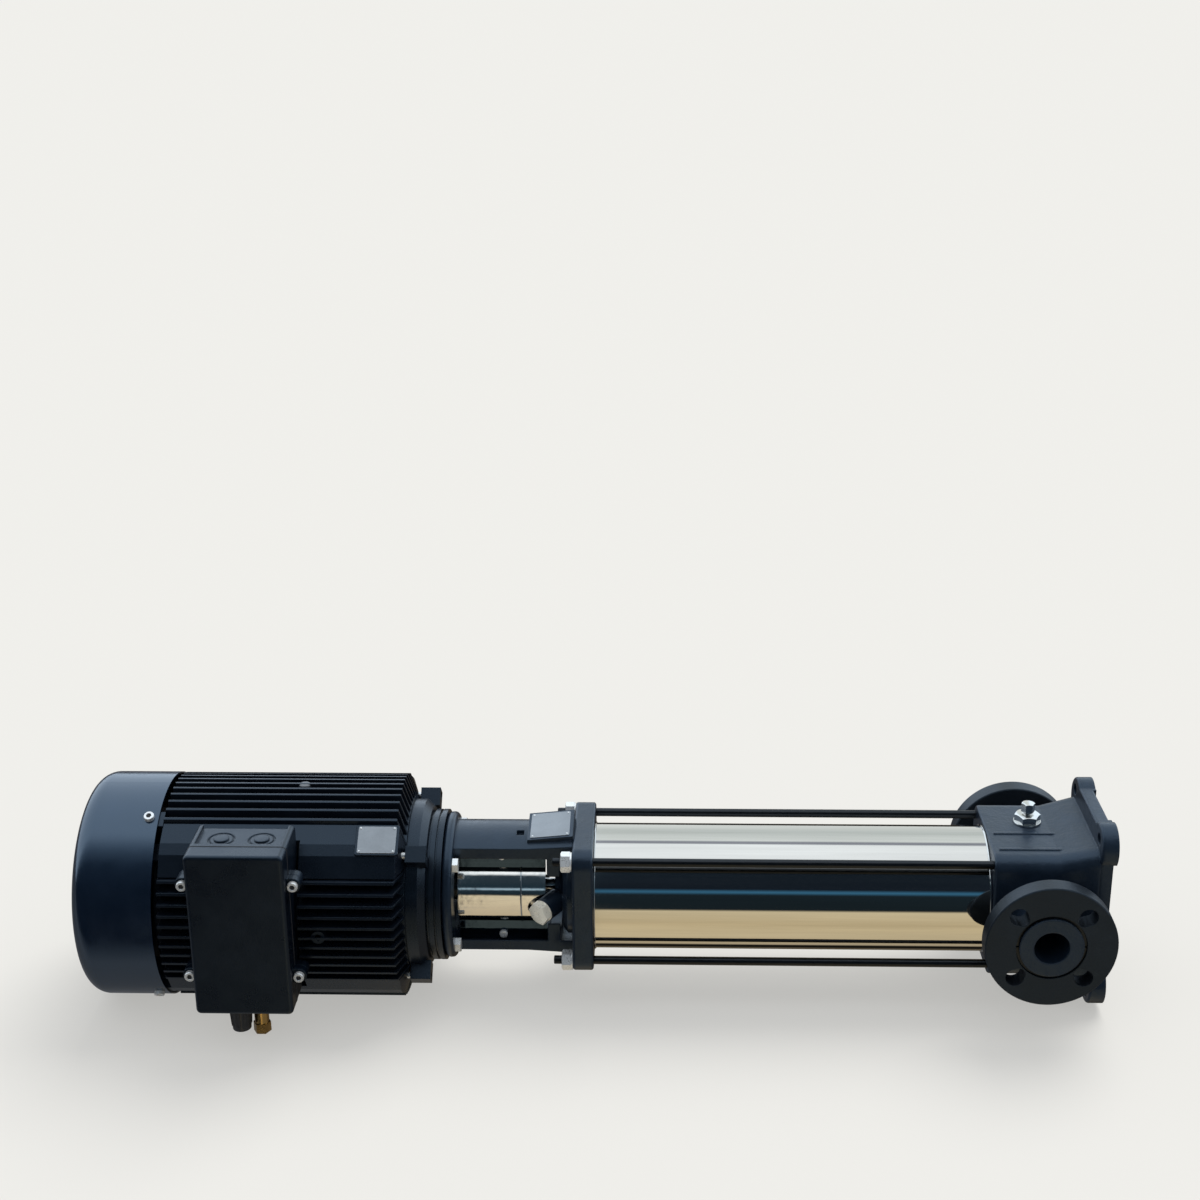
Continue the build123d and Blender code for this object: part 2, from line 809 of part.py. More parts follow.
def stool_bolts():
    head_low = motor_level - stool_flange_thick - stool_bolt_head
    bolt = Pos(0, 0, head_low) * hexagon(stool_bolt_flats, stool_bolt_head)
    bolt += rod(stool_bolt_radius, head_low + stool_bolt_head, motor_level + stool_bolt_bite)
    return [place * bolt for place in diagonal_places(stool_bolt_circle_radius)]


# Motor
def lug(inner, reach, low, high, angles=(45, 135, 225, 315)):
    """A lug of the motor, turned to its four places."""
    one = block((inner, -lug_width / 2, low), (reach, lug_width / 2, high))
    return [Rot(0, 0, angle) * one for angle in angles]


def drive_end_shield():
    low = motor_level
    groove_radius = shield_face_radius - shield_groove
    seat_low = front_bearing_level
    rings = []
    for index in range(shield_rings):
        start = low + index * shield_ring_pitch
        rings.append((shield_face_radius, start))
        rings.append((shield_face_radius, start + shield_ring_height))
        rings.append((groove_radius, start + shield_ring_height))
        rings.append((groove_radius, start + shield_ring_pitch))
    rings_top = low + shield_rings * shield_ring_pitch
    body = turned([
        (bearing_bore_radius + 2, low - spigot_depth),
        (spigot_radius - fit_gap, low - spigot_depth),
        (spigot_radius - fit_gap, low),
        *rings,
        (shield_face_radius + 3, rings_top + 1),
        (shield_radius, rings_top + 9),
        (shield_radius, frame_level),
        (frame_bore_radius - fit_gap, frame_level),
        (frame_bore_radius - fit_gap, frame_level + shield_spigot),
        (frame_bore_radius - 6, frame_level + shield_spigot),
        (frame_bore_radius - 8, rings_top + 17),
        (bearing_radius + 8, seat_low + 14),
        (bearing_radius + 6, seat_low + bearing_width),
        (bearing_radius + fit_gap, seat_low + bearing_width),
        (bearing_radius + fit_gap, seat_low),
        (bearing_radius - 5, seat_low),
        (bearing_radius - 5, low),
        (bearing_bore_radius + 2, low),
    ])
    for piece in lug(shield_radius - 6, lug_reach, frame_level - lug_height, frame_level - 1):
        body += piece
    for place in diagonal_places(stool_bolt_circle_radius):
        body -= place * rod(stool_bolt_radius + fit_gap, low, low + stool_bolt_bite + 2)
    for place in diagonal_places(tie_rod_place_radius):
        body -= place * rod(tie_rod_radius + fit_gap, frame_level - lug_height, frame_level)
    return body


def fin_section():
    """The outline of the finned wall: four groups of fins and four smooth corners."""
    wall = Circle(frame_core_radius)
    fins = int(fin_group_half // fin_pitch)
    group = [index * fin_pitch for index in range(-fins, fins + 1)]
    for offset in group:
        wall += Pos(0, offset) * Rectangle(2 * fin_tip_radius, fin_thick)
        wall += Pos(offset, 0) * Rectangle(fin_thick, 2 * fin_tip_radius)
    corner = make_face(Polyline(
        (corner_foot, corner_outer),
        (corner_inner, corner_inner + 10),
        (corner_inner + 10, corner_inner),
        (corner_outer, corner_foot),
        (corner_foot, corner_foot),
        close=True,
    ))
    for angle in (0, 90, 180, 270):
        wall += Rot(0, 0, angle) * corner
    return wall & Circle(fin_tip_radius)


def motor_frame():
    section = fin_section() - Circle(frame_bore_radius)
    frame = Pos(0, 0, frame_level) * extrude(section, frame_length)
    slant = turned([
        (frame_core_radius, frame_level - 1),
        (fin_tip_radius + 2, frame_level - 1),
        (fin_tip_radius + 2, frame_level + fin_end_slant),
        (frame_core_radius, frame_level),
    ])
    frame -= slant
    box_low = box_level - box_half_wide - 3
    box_high = box_level + box_half_wide + 3
    footprint = block(
        (box_offset - box_half_long - 3, -2 * fin_tip_radius, box_low),
        (box_offset + box_half_long + 3, -box_back + 8, box_high),
    )
    frame -= footprint - rod(frame_core_radius, box_low, box_high)
    pad = footprint & tube(box_saddle_radius, frame_core_radius - 2, box_low, box_high)
    pad &= block(
        (box_offset - box_half_long + 16, -2 * fin_tip_radius, box_low + 9),
        (box_offset + box_half_long - 40, 0, box_high - 9),
    )
    frame += pad
    frame -= Pos(box_offset, -box_saddle_radius, box_level) * Rot(90, 0, 0) * Cylinder(knockout_radius, 60)
    for place in diagonal_places(tie_rod_place_radius):
        frame -= place * rod(tie_rod_radius + 0.5, frame_level - 1, frame_top + 1)
    reach = fin_tip_radius - 3
    for turn, rise in ((0, high_boss_rise), (90, low_boss_rise), (180, high_boss_rise), (270, low_boss_rise)):
        level = frame_level + rise
        foot = frame_core_radius - 2
        boss = Pos(foot, 0, level) * Rot(0, 90, 0) * extrude(Circle(boss_radius), reach - foot)
        hole = Pos(reach - 12, 0, level) * Rot(0, 90, 0) * extrude(Circle(boss_radius / 2), 14)
        frame += Rot(0, 0, turn) * boss
        frame -= Rot(0, 0, turn) * hole
    return frame


def bearing_levels():
    return (front_bearing_level, rear_bearing_level)


def bearing_outer_rings():
    inner = bearing_radius - bearing_ring
    return joined([tube(bearing_radius, inner, level, level + bearing_width) for level in bearing_levels()])


def bearing_inner_rings():
    """The inner rings with their balls, which turn with the shaft."""
    ring_outer = bearing_bore_radius + bearing_ring
    track_radius = (ring_outer + bearing_radius - bearing_ring) / 2
    solids = []
    for level in bearing_levels():
        solids.append(tube(ring_outer, bearing_bore_radius + shaft_gap, level, level + bearing_width))
        for index in range(ball_count):
            place = Rot(0, 0, index * 360 / ball_count) * Pos(track_radius, 0, level + bearing_width / 2)
            solids.append(place * Sphere(ball_radius))
    return joined(solids)


def stator_core():
    return tube(frame_bore_radius - fit_gap, rotor_radius + air_gap, core_level, core_level + core_length)


def stator_windings():
    inner = rotor_radius + air_gap + 3
    outer = frame_bore_radius - 10
    top = core_level + core_length
    return joined([
        tube(outer, inner, core_level - winding_length, core_level),
        tube(outer, inner, top, top + winding_length),
    ])


def motor_shaft():
    seat = bearing_bore_radius
    shaft = rod(motor_shaft_radius, shaft_meeting + 1, front_bearing_level)
    shaft += rod(seat, front_bearing_level, front_bearing_level + bearing_width)
    shaft += rod(seat + 4, front_bearing_level + bearing_width, rear_bearing_level)
    shaft += rod(seat, rear_bearing_level, rear_bearing_level + bearing_width)
    shaft += rod(fan_seat_radius, rear_bearing_level + bearing_width, fan_level + fan_hub_length)
    return shaft


def rotor_core():
    return tube(rotor_radius, bearing_bore_radius + 4 + shaft_gap, core_level - 4, core_level + core_length + 4)


def non_drive_end_shield():
    top = frame_top + rear_shield_thick
    seat_low = rear_bearing_level
    seat_top = seat_low + bearing_width
    body = turned([
        (bearing_radius + fit_gap, seat_low),
        (bearing_radius + 7, seat_low),
        (bearing_radius + 7, frame_top),
        (frame_bore_radius - 8, frame_top),
        (frame_bore_radius - 8, frame_top - shield_spigot),
        (frame_bore_radius - fit_gap, frame_top - shield_spigot),
        (frame_bore_radius - fit_gap, frame_top),
        (frame_core_radius, frame_top),
        (frame_core_radius, top),
        (bearing_radius + 7, top),
        (bearing_radius + 5, seat_top + 4),
        (bearing_bore_radius + 3, seat_top + 4),
        (bearing_bore_radius + 3, seat_top),
        (bearing_radius + fit_gap, seat_top),
    ])
    lug_top = screw_level + cover_lug_above
    inside = cover_radius - cover_sheet - cover_seat_gap
    for piece in lug(frame_core_radius - 12, lug_reach, frame_top, top):
        body += piece
    for piece in lug(frame_core_radius - 12, cover_radius, frame_top, lug_top, cover_screw_angles):
        body += piece & rod(inside, frame_top, lug_top)
    for place in diagonal_places(tie_rod_place_radius):
        body -= place * rod(tie_rod_radius + fit_gap, frame_top - 1, frame_top + 6)
    for place in cover_screw_places():
        body -= place * Cylinder(cover_screw_radius + fit_gap, 16)
    return body


def cover_screw_places():
    """The screws of the fan cover, local Z pointing outward at its surface."""
    return [Rot(0, 0, angle) * Pos(cover_radius, 0, screw_level) * Rot(0, 90, 0) for angle in cover_screw_angles]


def tie_rods():
    low = frame_level - lug_height + 2
    return [place * rod(tie_rod_radius, low, frame_top + 5) for place in diagonal_places(tie_rod_place_radius)]


def motor_bolts():
    return joined(stool_bolts() + tie_rods())


def cooling_fan():
    hub = tube(fan_hub_radius, fan_seat_radius + shaft_gap, fan_level, fan_level + fan_hub_length)
    fan = hub + tube(fan_radius - 20, fan_hub_radius - 1, fan_level, fan_level + 3)
    blade = block(
        (fan_hub_radius - 2, -fan_blade_thick / 2, fan_level),
        (fan_radius, fan_blade_thick / 2, fan_level + fan_hub_length - 4),
    )
    for index in range(fan_blade_count):
        fan += Rot(0, 0, index * 360 / fan_blade_count) * blade
    return fan


def fan_cover():
    outer = rod(cover_radius, cover_level, cover_top)
    outer = fillet(outer.edges().sort_by(Axis.Z)[-1:], cover_round)
    inner = rod(cover_radius - cover_sheet, cover_level - 1, cover_top - cover_sheet)
    inner = fillet(inner.edges().sort_by(Axis.Z)[-1:], cover_round - cover_sheet)
    cover = outer - inner
    bars = Rectangle(grille_bar, 4 * cover_radius)
    for index in range(1, grille_spokes // 2):
        bars += Rot(0, 0, index * 360 / grille_spokes) * Rectangle(grille_bar, 4 * cover_radius)
    holes = None
    for index in range(grille_rings):
        inner_edge = grille_inner + index * (grille_slot + grille_bar)
        ring = Circle(inner_edge + grille_slot) - Circle(inner_edge)
        holes = ring if holes is None else holes + ring
    slots = holes - bars
    cover -= Pos(0, 0, cover_top - 2 * cover_sheet) * extrude(slots, 3 * cover_sheet)
    for place in cover_screw_places():
        cover -= place * Cylinder(cover_screw_radius + fit_gap, 8 * cover_sheet)
    return cover


def cover_screws():
    screw = extrude(Circle(2 * cover_screw_radius), 3)
    screw += Pos(0, 0, -7) * extrude(Circle(cover_screw_radius), 7)
    return [place * screw for place in cover_screw_places()]


# Terminal box
def box_place(depth):
    """The middle of the terminal box at a depth, local Z pointing out along -Y and local X along the shaft."""
    return Pos(box_offset, -depth, box_level) * Rot(90, 0, 0)


def ear_offsets():
    return [(x * ear_offset_long, z * ear_offset_wide) for x in (-1, 1) for z in (-1, 1)]


def ears(low, high):
    """The four screw ears of the box, from one depth to another, with their holes."""
    shapes = []
    for x, z in ear_offsets():
        inward = -z / abs(z) * ear_radius
        ear = Circle(ear_radius) + Pos(0, inward) * Rectangle(2 * ear_radius, 2 * ear_radius)
        shapes.append(box_place(low) * Pos(x, z) * extrude(ear, high - low))
    return shapes


def ear_holes(low, high):
    hole = Circle(ear_screw_radius + fit_gap)
    return [box_place(low) * Pos(x, z) * extrude(hole, high - low) for x, z in ear_offsets()]


def box_end_face():
    """The middle of the box's +X end at the recess floor, local Z pointing out and local X along the shaft."""
    middle = (box_back + box_split) / 2
    return Pos(box_offset + box_half_long - box_end_recess, -middle, box_level) * Rot(0, 90, 0)


def terminal_box_base():
    outline = RectangleRounded(2 * box_half_long, 2 * box_half_wide, box_corner)
    hollow = RectangleRounded(2 * (box_half_long - box_end_wall), 2 * (box_half_wide - box_wall), box_corner - 2)
    base = box_place(box_back) * extrude(outline, box_split - box_back)
    base -= box_place(box_floor) * extrude(hollow, box_split - box_floor)
    for ear in ears(ear_low, box_split):
        base += ear
    for hole in ear_holes(ear_low, box_split):
        base -= hole
    base -= rod(box_saddle_radius + fit_gap, box_level - 2 * box_half_wide, box_level + 2 * box_half_wide)
    base -= box_place(box_saddle_radius - 2) * extrude(Circle(knockout_radius - 2), box_wall + 4)
    recess = Rectangle(2 * (box_half_wide - box_end_rib), box_split - box_back - box_end_rib)
    base -= box_end_face() * Pos(0, box_end_rib / 2) * extrude(recess, 2 * box_end_recess)
    ring = Circle(knockout_radius) - Circle(knockout_radius - 2.5)
    for z in (-knockout_spacing / 2, knockout_spacing / 2):
        base -= box_end_face() * Pos(z, 0, -knockout_groove) * extrude(ring, 2 * knockout_groove)
    return base


def terminal_box_lid():
    outline = RectangleRounded(2 * box_half_long, 2 * box_half_wide, box_corner)
    hollow = RectangleRounded(2 * (box_half_long - box_end_wall), 2 * (box_half_wide - box_wall), box_corner - 2)
    lid = box_place(box_split) * extrude(outline, box_front - box_split)
    lid = fillet(lid.faces().sort_by(Axis.Y)[0].edges(), 4)
    lid -= box_place(box_split) * extrude(hollow, box_front - box_split - box_wall)
    for ear in ears(box_split, box_split + ear_lid_thick):
        lid += ear
    for hole in ear_holes(box_split, box_split + ear_lid_thick):
        lid -= hole
    return lid


def ear_screws():
    screw = Pos(0, 0, ear_lid_thick) * extrude(Circle(2 * ear_screw_radius), 4)
    screw += Pos(0, 0, ear_low - box_split) * extrude(Circle(ear_screw_radius), ear_lid_thick + box_split - ear_low)
    return [box_place(box_split) * Pos(x, z) * screw for x, z in ear_offsets()]


def housing_screws():
    return joined(cover_screws() + ear_screws())


def entry_place(depth, offset):
    """An entry on the lower end of the terminal box, local Z pointing out along -X."""
    return Pos(box_offset - box_half_long, -box_back - depth, box_level + offset) * Rot(0, -90, 0)


def cable_gland():
    gland = hexagon(gland_nut_flats, gland_nut_height)
    gland += Pos(0, 0, gland_nut_height) * extrude(Circle(gland_radius), gland_length - gland_nut_height, taper=4)
    gland -= Pos(0, 0, gland_nut_height) * extrude(Circle(gland_radius / 2), gland_length)
    return entry_place(gland_depth, gland_offset) * gland


def brass_plug():
    plug = hexagon(brass_nut_flats, brass_nut_height)
    plug += Pos(0, 0, brass_nut_height) * extrude(Circle(brass_radius), brass_length - 2 * brass_nut_height)
    plug += Pos(0, 0, brass_length - brass_nut_height) * hexagon(brass_nut_flats, brass_nut_height)
    return entry_place(brass_depth, brass_offset) * plug


# Every sub-part, written to its own file
save("base_casting", base_casting())
save("front_flange", loose_flange(-1))
save("rear_flange", loose_flange(1))
save("flange_retaining_rings", retaining_rings())
save("drain_plug", drain_plug())
save("bypass_spindle", bypass_spindle())
save("outer_sleeve", outer_sleeve())
save("sleeve_seals", sleeve_seals())
save("inlet_guide", inlet_guide())
for number in range(stage_count):
    level = stage_level + number * stage_pitch
    save(f"stage_chamber_{number + 1}", stage_chamber(level))
    save(f"impeller_{number + 1}", impeller(level))
save("discharge_guide", discharge_guide())
save("pump_shaft", pump_shaft())
save("pump_head_cover", pump_head_cover())
save("shaft_seal_seat", shaft_seal_seat())
save("shaft_seal_ring", shaft_seal_ring())
save("priming_plug", priming_plug())
save("motor_stool", motor_stool())
save("staybolts", staybolts())
save("staybolt_washers", staybolt_washers())
save("staybolt_nuts", staybolt_nuts())
save("coupling_half_left", coupling_half(-1))
save("coupling_half_right", coupling_half(1))
save("coupling_screws", coupling_screws())
save("coupling_guard_front", coupling_guard(-1))
save("coupling_guard_rear", coupling_guard(1))
save("guard_screws", guard_screws())
save("motor_bolts", motor_bolts())
save("drive_end_shield", drive_end_shield())
save("bearing_outer_rings", bearing_outer_rings())
save("bearing_inner_rings", bearing_inner_rings())
save("motor_frame", motor_frame())
save("stator_core", stator_core())
save("stator_windings", stator_windings())
save("motor_shaft", motor_shaft())
save("rotor_core", rotor_core())
save("non_drive_end_shield", non_drive_end_shield())
save("cooling_fan", cooling_fan())
save("fan_cover", fan_cover())
save("housing_screws", housing_screws())
save("terminal_box_base", terminal_box_base())
save("terminal_box_lid", terminal_box_lid())
save("cable_gland", cable_gland())
save("brass_plug", brass_plug())
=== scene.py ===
from math import atan2, cos, pi, radians, sin

import bpy
from mathutils import Matrix, Vector


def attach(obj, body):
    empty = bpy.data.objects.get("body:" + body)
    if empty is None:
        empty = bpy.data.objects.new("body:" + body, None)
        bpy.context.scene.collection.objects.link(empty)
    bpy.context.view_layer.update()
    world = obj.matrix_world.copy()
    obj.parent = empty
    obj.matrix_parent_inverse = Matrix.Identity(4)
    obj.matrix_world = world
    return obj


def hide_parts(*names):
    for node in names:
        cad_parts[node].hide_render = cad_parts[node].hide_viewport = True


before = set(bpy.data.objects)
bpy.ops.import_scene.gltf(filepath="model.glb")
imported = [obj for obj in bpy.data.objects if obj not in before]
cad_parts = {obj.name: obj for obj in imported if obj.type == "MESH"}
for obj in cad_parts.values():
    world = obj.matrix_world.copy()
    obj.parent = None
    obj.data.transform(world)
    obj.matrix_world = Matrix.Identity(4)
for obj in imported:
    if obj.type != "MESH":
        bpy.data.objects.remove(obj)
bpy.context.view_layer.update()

# The pump stands along +Z. In the photograph it lies on its -X side, so +X points up in the picture.
# Lengths are in metres, and angles in radians unless the name says degrees.

# Camera
camera_place = Vector((1.08506, -1.97341, 0.52772))
camera_pan = -0.03242
camera_tilt = 0.34925
camera_roll = -0.00806
focal_pixels = 1843.25
picture_pixels = 1200.0
sensor_millimetres = 36.0

# The floor touches the fan cover and the edge of the base plate
floor_at_motor = (-0.1340, 1.150)
floor_at_base = (-0.1226, 0.005)
floor_half = 60.0
paper = (0.8714, 0.8632, 0.8308)
floor_colour = (0.2467, 0.2380, 0.2195)
floor_glow = (0.4400, 0.4354, 0.4192)


def new_material(name):
    """A new material, its node tree and its shader, which is joined to the output."""
    material = bpy.data.materials.new(name)
    material.use_nodes = True
    tree = material.node_tree
    tree.nodes.clear()
    shader = tree.nodes.new("ShaderNodeBsdfPrincipled")
    output = tree.nodes.new("ShaderNodeOutputMaterial")
    tree.links.new(shader.outputs["BSDF"], output.inputs["Surface"])
    return material, tree, shader


def add_node(tree, kind, settings=None, **inputs):
    """A node with its sockets set to values or joined to other sockets; at0 is its socket of number 0."""
    node = tree.nodes.new(kind)
    for key, value in (settings or {}).items():
        setattr(node, key, value)
    for key, value in inputs.items():
        socket = node.inputs[key.replace("_", " ")] if not key.startswith("at") else node.inputs[int(key[2:])]
        if isinstance(value, bpy.types.NodeSocket):
            tree.links.new(value, socket)
        else:
            socket.default_value = value
    return node


def place_on_piece(tree, stretch=(1.0, 1.0, 1.0)):
    """The piece's own coordinates in metres, stretched along each axis."""
    coordinates = add_node(tree, "ShaderNodeTexCoord")
    mapping = add_node(tree, "ShaderNodeMapping", Vector=coordinates.outputs["Object"], Scale=stretch)
    return mapping.outputs["Vector"]


def grain(tree, vector, scale, detail=4.0, rough=0.6):
    """Noise between 0 and 1."""
    node = add_node(tree, "ShaderNodeTexNoise", Vector=vector, Scale=scale, Detail=detail, Roughness=rough)
    return node.outputs["Fac"]


def ramp(tree, value, stops):
    """A colour ramp from pairs of position and colour."""
    node = add_node(tree, "ShaderNodeValToRGB", Fac=value)
    elements = node.color_ramp.elements
    while len(elements) < len(stops):
        elements.new(0.5)
    for element, (position, colour) in zip(elements, stops):
        element.position = position
        element.color = (*colour, 1.0)
    return node.outputs["Color"]


def spread(tree, value, low, high, new_low, new_high):
    """A value moved from one range to another."""
    node = add_node(tree, "ShaderNodeMapRange", at0=value, at1=low, at2=high, at3=new_low, at4=new_high)
    return node.outputs["Result"]


def mixed_colour(tree, share, first, second):
    """Two colours mixed by a share from 0 to 1; each is a socket or a colour."""
    node = add_node(tree, "ShaderNodeMix", {"data_type": "RGBA"}, at0=share, at6=first, at7=second)
    return node.outputs[2]


def relief(tree, shader, height, depth, under=None):
    """A bump of a depth in metres on the shader, over another one if there is one."""
    node = add_node(tree, "ShaderNodeBump", Height=height, Distance=depth, Strength=1.0)
    if under is not None:
        tree.links.new(under, node.inputs["Normal"])
    tree.links.new(node.outputs["Normal"], shader.inputs["Normal"])
    return node.outputs["Normal"]


def scaled(colour, factor):
    return tuple(channel * factor for channel in colour)


def rounded_edges(tree, shader, radius):
    """Softens the look of sharp edges by a radius in metres."""
    node = add_node(tree, "ShaderNodeBevel", {"samples": 4}, Radius=radius)
    tree.links.new(node.outputs["Normal"], shader.inputs["Normal"])
    return node.outputs["Normal"]


def paint(name, colour, roughness, pitted, pit_scale, wear, edge, gloss, lumps=0.0):
    """Blue-black paint over metal, with its orange peel, faint mottling and a little rubbed dust."""
    material, tree, shader = new_material(name)
    vector = place_on_piece(tree)
    mottle = grain(tree, vector, 26.0, 5.0)
    fine = grain(tree, vector, pit_scale, 3.0)
    base = ramp(tree, mottle, [(0.3, scaled(colour, 0.8)), (0.55, colour), (0.75, scaled(colour, 1.35))])
    if wear:
        dust = grain(tree, place_on_piece(tree, (1.0, 1.0, 0.6)), 75.0, 8.0, 0.7)
        base = mixed_colour(tree, spread(tree, dust, 0.62, 0.76, 0.0, wear), base, (*dust_grey, 1.0))
    tree.links.new(base, shader.inputs["Base Color"])
    polish = spread(tree, mottle, 0.3, 0.7, roughness - 0.05, roughness + 0.06)
    tree.links.new(polish, shader.inputs["Roughness"])
    shader.inputs["IOR"].default_value = gloss
    shader.inputs["Specular Tint"].default_value = (*gloss_tint, 1.0)
    under = rounded_edges(tree, shader, edge) if edge else None
    if lumps:
        under = relief(tree, shader, grain(tree, vector, 60.0, 3.0), lumps, under)
    relief(tree, shader, fine, pitted, under)
    return material


def metal(
    name, colour, roughness, stretch=(1.0, 1.0, 1.0), line_scale=300.0, line_depth=0.00002,
    spots=0.0, drawn=1.0, shine=1.0,
):
    """Bare metal with drawn or turned lines and small changes in its polish."""
    material, tree, shader = new_material(name)
    lines = grain(tree, place_on_piece(tree, stretch), line_scale, 3.0)
    cloud_scale = 18.0 if drawn == 1.0 else 70.0
    cloud = grain(tree, place_on_piece(tree, (1.0, 1.0, drawn)), cloud_scale, 4.0)
    base = ramp(tree, cloud, [(0.3, scaled(colour, 1.0 - spots)), (0.65, colour)])
    tree.links.new(base, shader.inputs["Base Color"])
    shader.inputs["Metallic"].default_value = shine
    polish = spread(tree, lines, 0.3, 0.7, roughness * 0.8, roughness * 1.25)
    tree.links.new(polish, shader.inputs["Roughness"])
    relief(tree, shader, lines, line_depth)
    return material


def guard_metal():
    """Polished sheet whose flat side strips lie in the dark of the stool; their dark base colour is painted
    shade.
    """
    material, tree, shader = new_material("polished_guard_steel")
    vector = place_on_piece(tree)
    parts = add_node(tree, "ShaderNodeSeparateXYZ", Vector=vector)
    depth = add_node(tree, "ShaderNodeMath", {"operation": "ABSOLUTE"}, at0=parts.outputs["Y"])
    # Painted shade: the flat strips near the middle of the sheet take the dark colour, the curved rest the
    # steel's own colour.
    curved = spread(tree, depth.outputs[0], *guard_strip_edge, 0.0, 1.0)
    base = ramp(tree, curved, [(0.0, guard_strip_painted_shade), (1.0, guard_bright)])
    tree.links.new(base, shader.inputs["Base Color"])
    shader.inputs["Metallic"].default_value = 1.0
    lines = grain(tree, place_on_piece(tree, (1.0, 1.0, 0.05)), 300.0, 3.0)
    tree.links.new(spread(tree, lines, 0.3, 0.7, 0.06, 0.11), shader.inputs["Roughness"])
    relief(tree, shader, grain(tree, vector, 55.0, 2.0), 0.00012)
    return material


def dull(name, colour, roughness):
    """Rubber, plastic or carbon without polish."""
    material, tree, shader = new_material(name)
    fine = grain(tree, place_on_piece(tree), 300.0, 4.0)
    base = ramp(tree, fine, [(0.3, scaled(colour, 0.8)), (0.7, scaled(colour, 1.15))])
    tree.links.new(base, shader.inputs["Base Color"])
    polish = spread(tree, fine, 0.2, 0.8, roughness - 0.06, roughness + 0.06)
    tree.links.new(polish, shader.inputs["Roughness"])
    relief(tree, shader, fine, 0.0001)
    return material


def rings_along_z(name, dark, light, pitch, roughness, metallic):
    """Thin sheets or wires stacked along the shaft."""
    material, tree, shader = new_material(name)
    vector = place_on_piece(tree)
    wave = add_node(
        tree, "ShaderNodeTexWave",
        {"wave_type": "BANDS", "bands_direction": "Z"},
        Vector=vector, Scale=0.314 / pitch, Distortion=0.4, Detail=1.0,
    )
    base = ramp(tree, wave.outputs["Fac"], [(0.2, dark), (0.6, light)])
    tree.links.new(base, shader.inputs["Base Color"])
    shader.inputs["Metallic"].default_value = metallic
    shader.inputs["Roughness"].default_value = roughness
    relief(tree, shader, wave.outputs["Fac"], 0.0002)
    return material


navy_black = (0.006, 0.011, 0.020)
gloss_tint = (0.62, 0.80, 1.0)
dust_grey = (0.13, 0.14, 0.15)
guard_bright = (0.76, 0.745, 0.71)
# Dark colour of the guard's flat strips: painted shade, not a colour the steel has.
guard_strip_painted_shade = (0.045, 0.07, 0.10)
guard_strip_edge = (0.0251, 0.0256)
cast_paint = paint(
    "cast_iron_black_paint", navy_black, 0.34,
    pitted=0.00022, pit_scale=330.0, wear=0.08, edge=0.003, gloss=1.55, lumps=0.0006,
)
stool_paint = paint(
    "stool_black_paint", (0.005, 0.009, 0.016), 0.30,
    pitted=0.00016, pit_scale=380.0, wear=0.05, edge=0.002, gloss=1.55, lumps=0.0004,
)
motor_paint = paint(
    "motor_black_paint", (0.0025, 0.004, 0.007), 0.28,
    pitted=0.0001, pit_scale=420.0, wear=0.03, edge=0.001, gloss=1.5,
)
cover_paint = paint(
    "fan_cover_blue_black_paint", (0.0022, 0.0056, 0.0135), 0.17,
    pitted=0.00003, pit_scale=500.0, wear=0.0, edge=0.0, gloss=1.9,
)
box_paint = paint(
    "terminal_box_black_paint", (0.0014, 0.0030, 0.0064), 0.30,
    pitted=0.00012, pit_scale=700.0, wear=0.02, edge=0.0024, gloss=1.55,
)
flange_paint = paint(
    "flange_black_paint", (0.0075, 0.0095, 0.0120), 0.42,
    pitted=0.0002, pit_scale=360.0, wear=0.08, edge=0.001, gloss=1.45,
)
rod_steel = metal("blackened_rod_steel", (0.035, 0.038, 0.042), 0.32, stretch=(1, 1, 0.1), line_scale=900.0)
mirror_steel = metal(
    "polished_sleeve_steel", (0.68, 0.665, 0.63), 0.05,
    stretch=(1, 1, 0.02), line_scale=260.0, line_depth=0.000006, spots=0.16, drawn=0.03,
)
guard_steel = guard_metal()
zinc_steel = metal("bright_zinc_steel", (0.76, 0.77, 0.76), 0.30, line_scale=500.0, spots=0.2, shine=0.65)
plug_steel = metal("plated_plug_steel", (0.84, 0.79, 0.66), 0.30, line_scale=400.0, spots=0.1, shine=0.30)
chrome = metal("chromed_plug_steel", (0.74, 0.73, 0.70), 0.18, line_depth=0.00001, spots=0.1)
brass = metal("turned_brass", (0.66, 0.43, 0.16), 0.25, line_scale=400.0, spots=0.3)
shaft_steel = metal("ground_shaft_steel", (0.52, 0.52, 0.51), 0.18, stretch=(1, 1, 8))
stage_steel = metal("pressed_stage_steel", (0.55, 0.54, 0.52), 0.28, line_scale=240.0, spots=0.15)
bearing_steel = metal("bearing_steel", (0.58, 0.58, 0.57), 0.12)
rubber = dull("black_rubber", (0.012, 0.012, 0.013), 0.65)
gland_plastic = dull("black_gland_plastic", (0.014, 0.015, 0.017), 0.42)
seal_carbon = dull("seal_carbon", (0.03, 0.03, 0.032), 0.35)
fan_plastic = dull("fan_black_plastic", (0.016, 0.016, 0.018), 0.5)
copper_wire = rings_along_z("varnished_copper_wire", (0.16, 0.05, 0.02), (0.52, 0.2, 0.08), 0.0016, 0.35, 0.7)
core_sheets = rings_along_z("core_sheet_steel", (0.10, 0.10, 0.11), (0.30, 0.30, 0.31), 0.001, 0.45, 0.8)

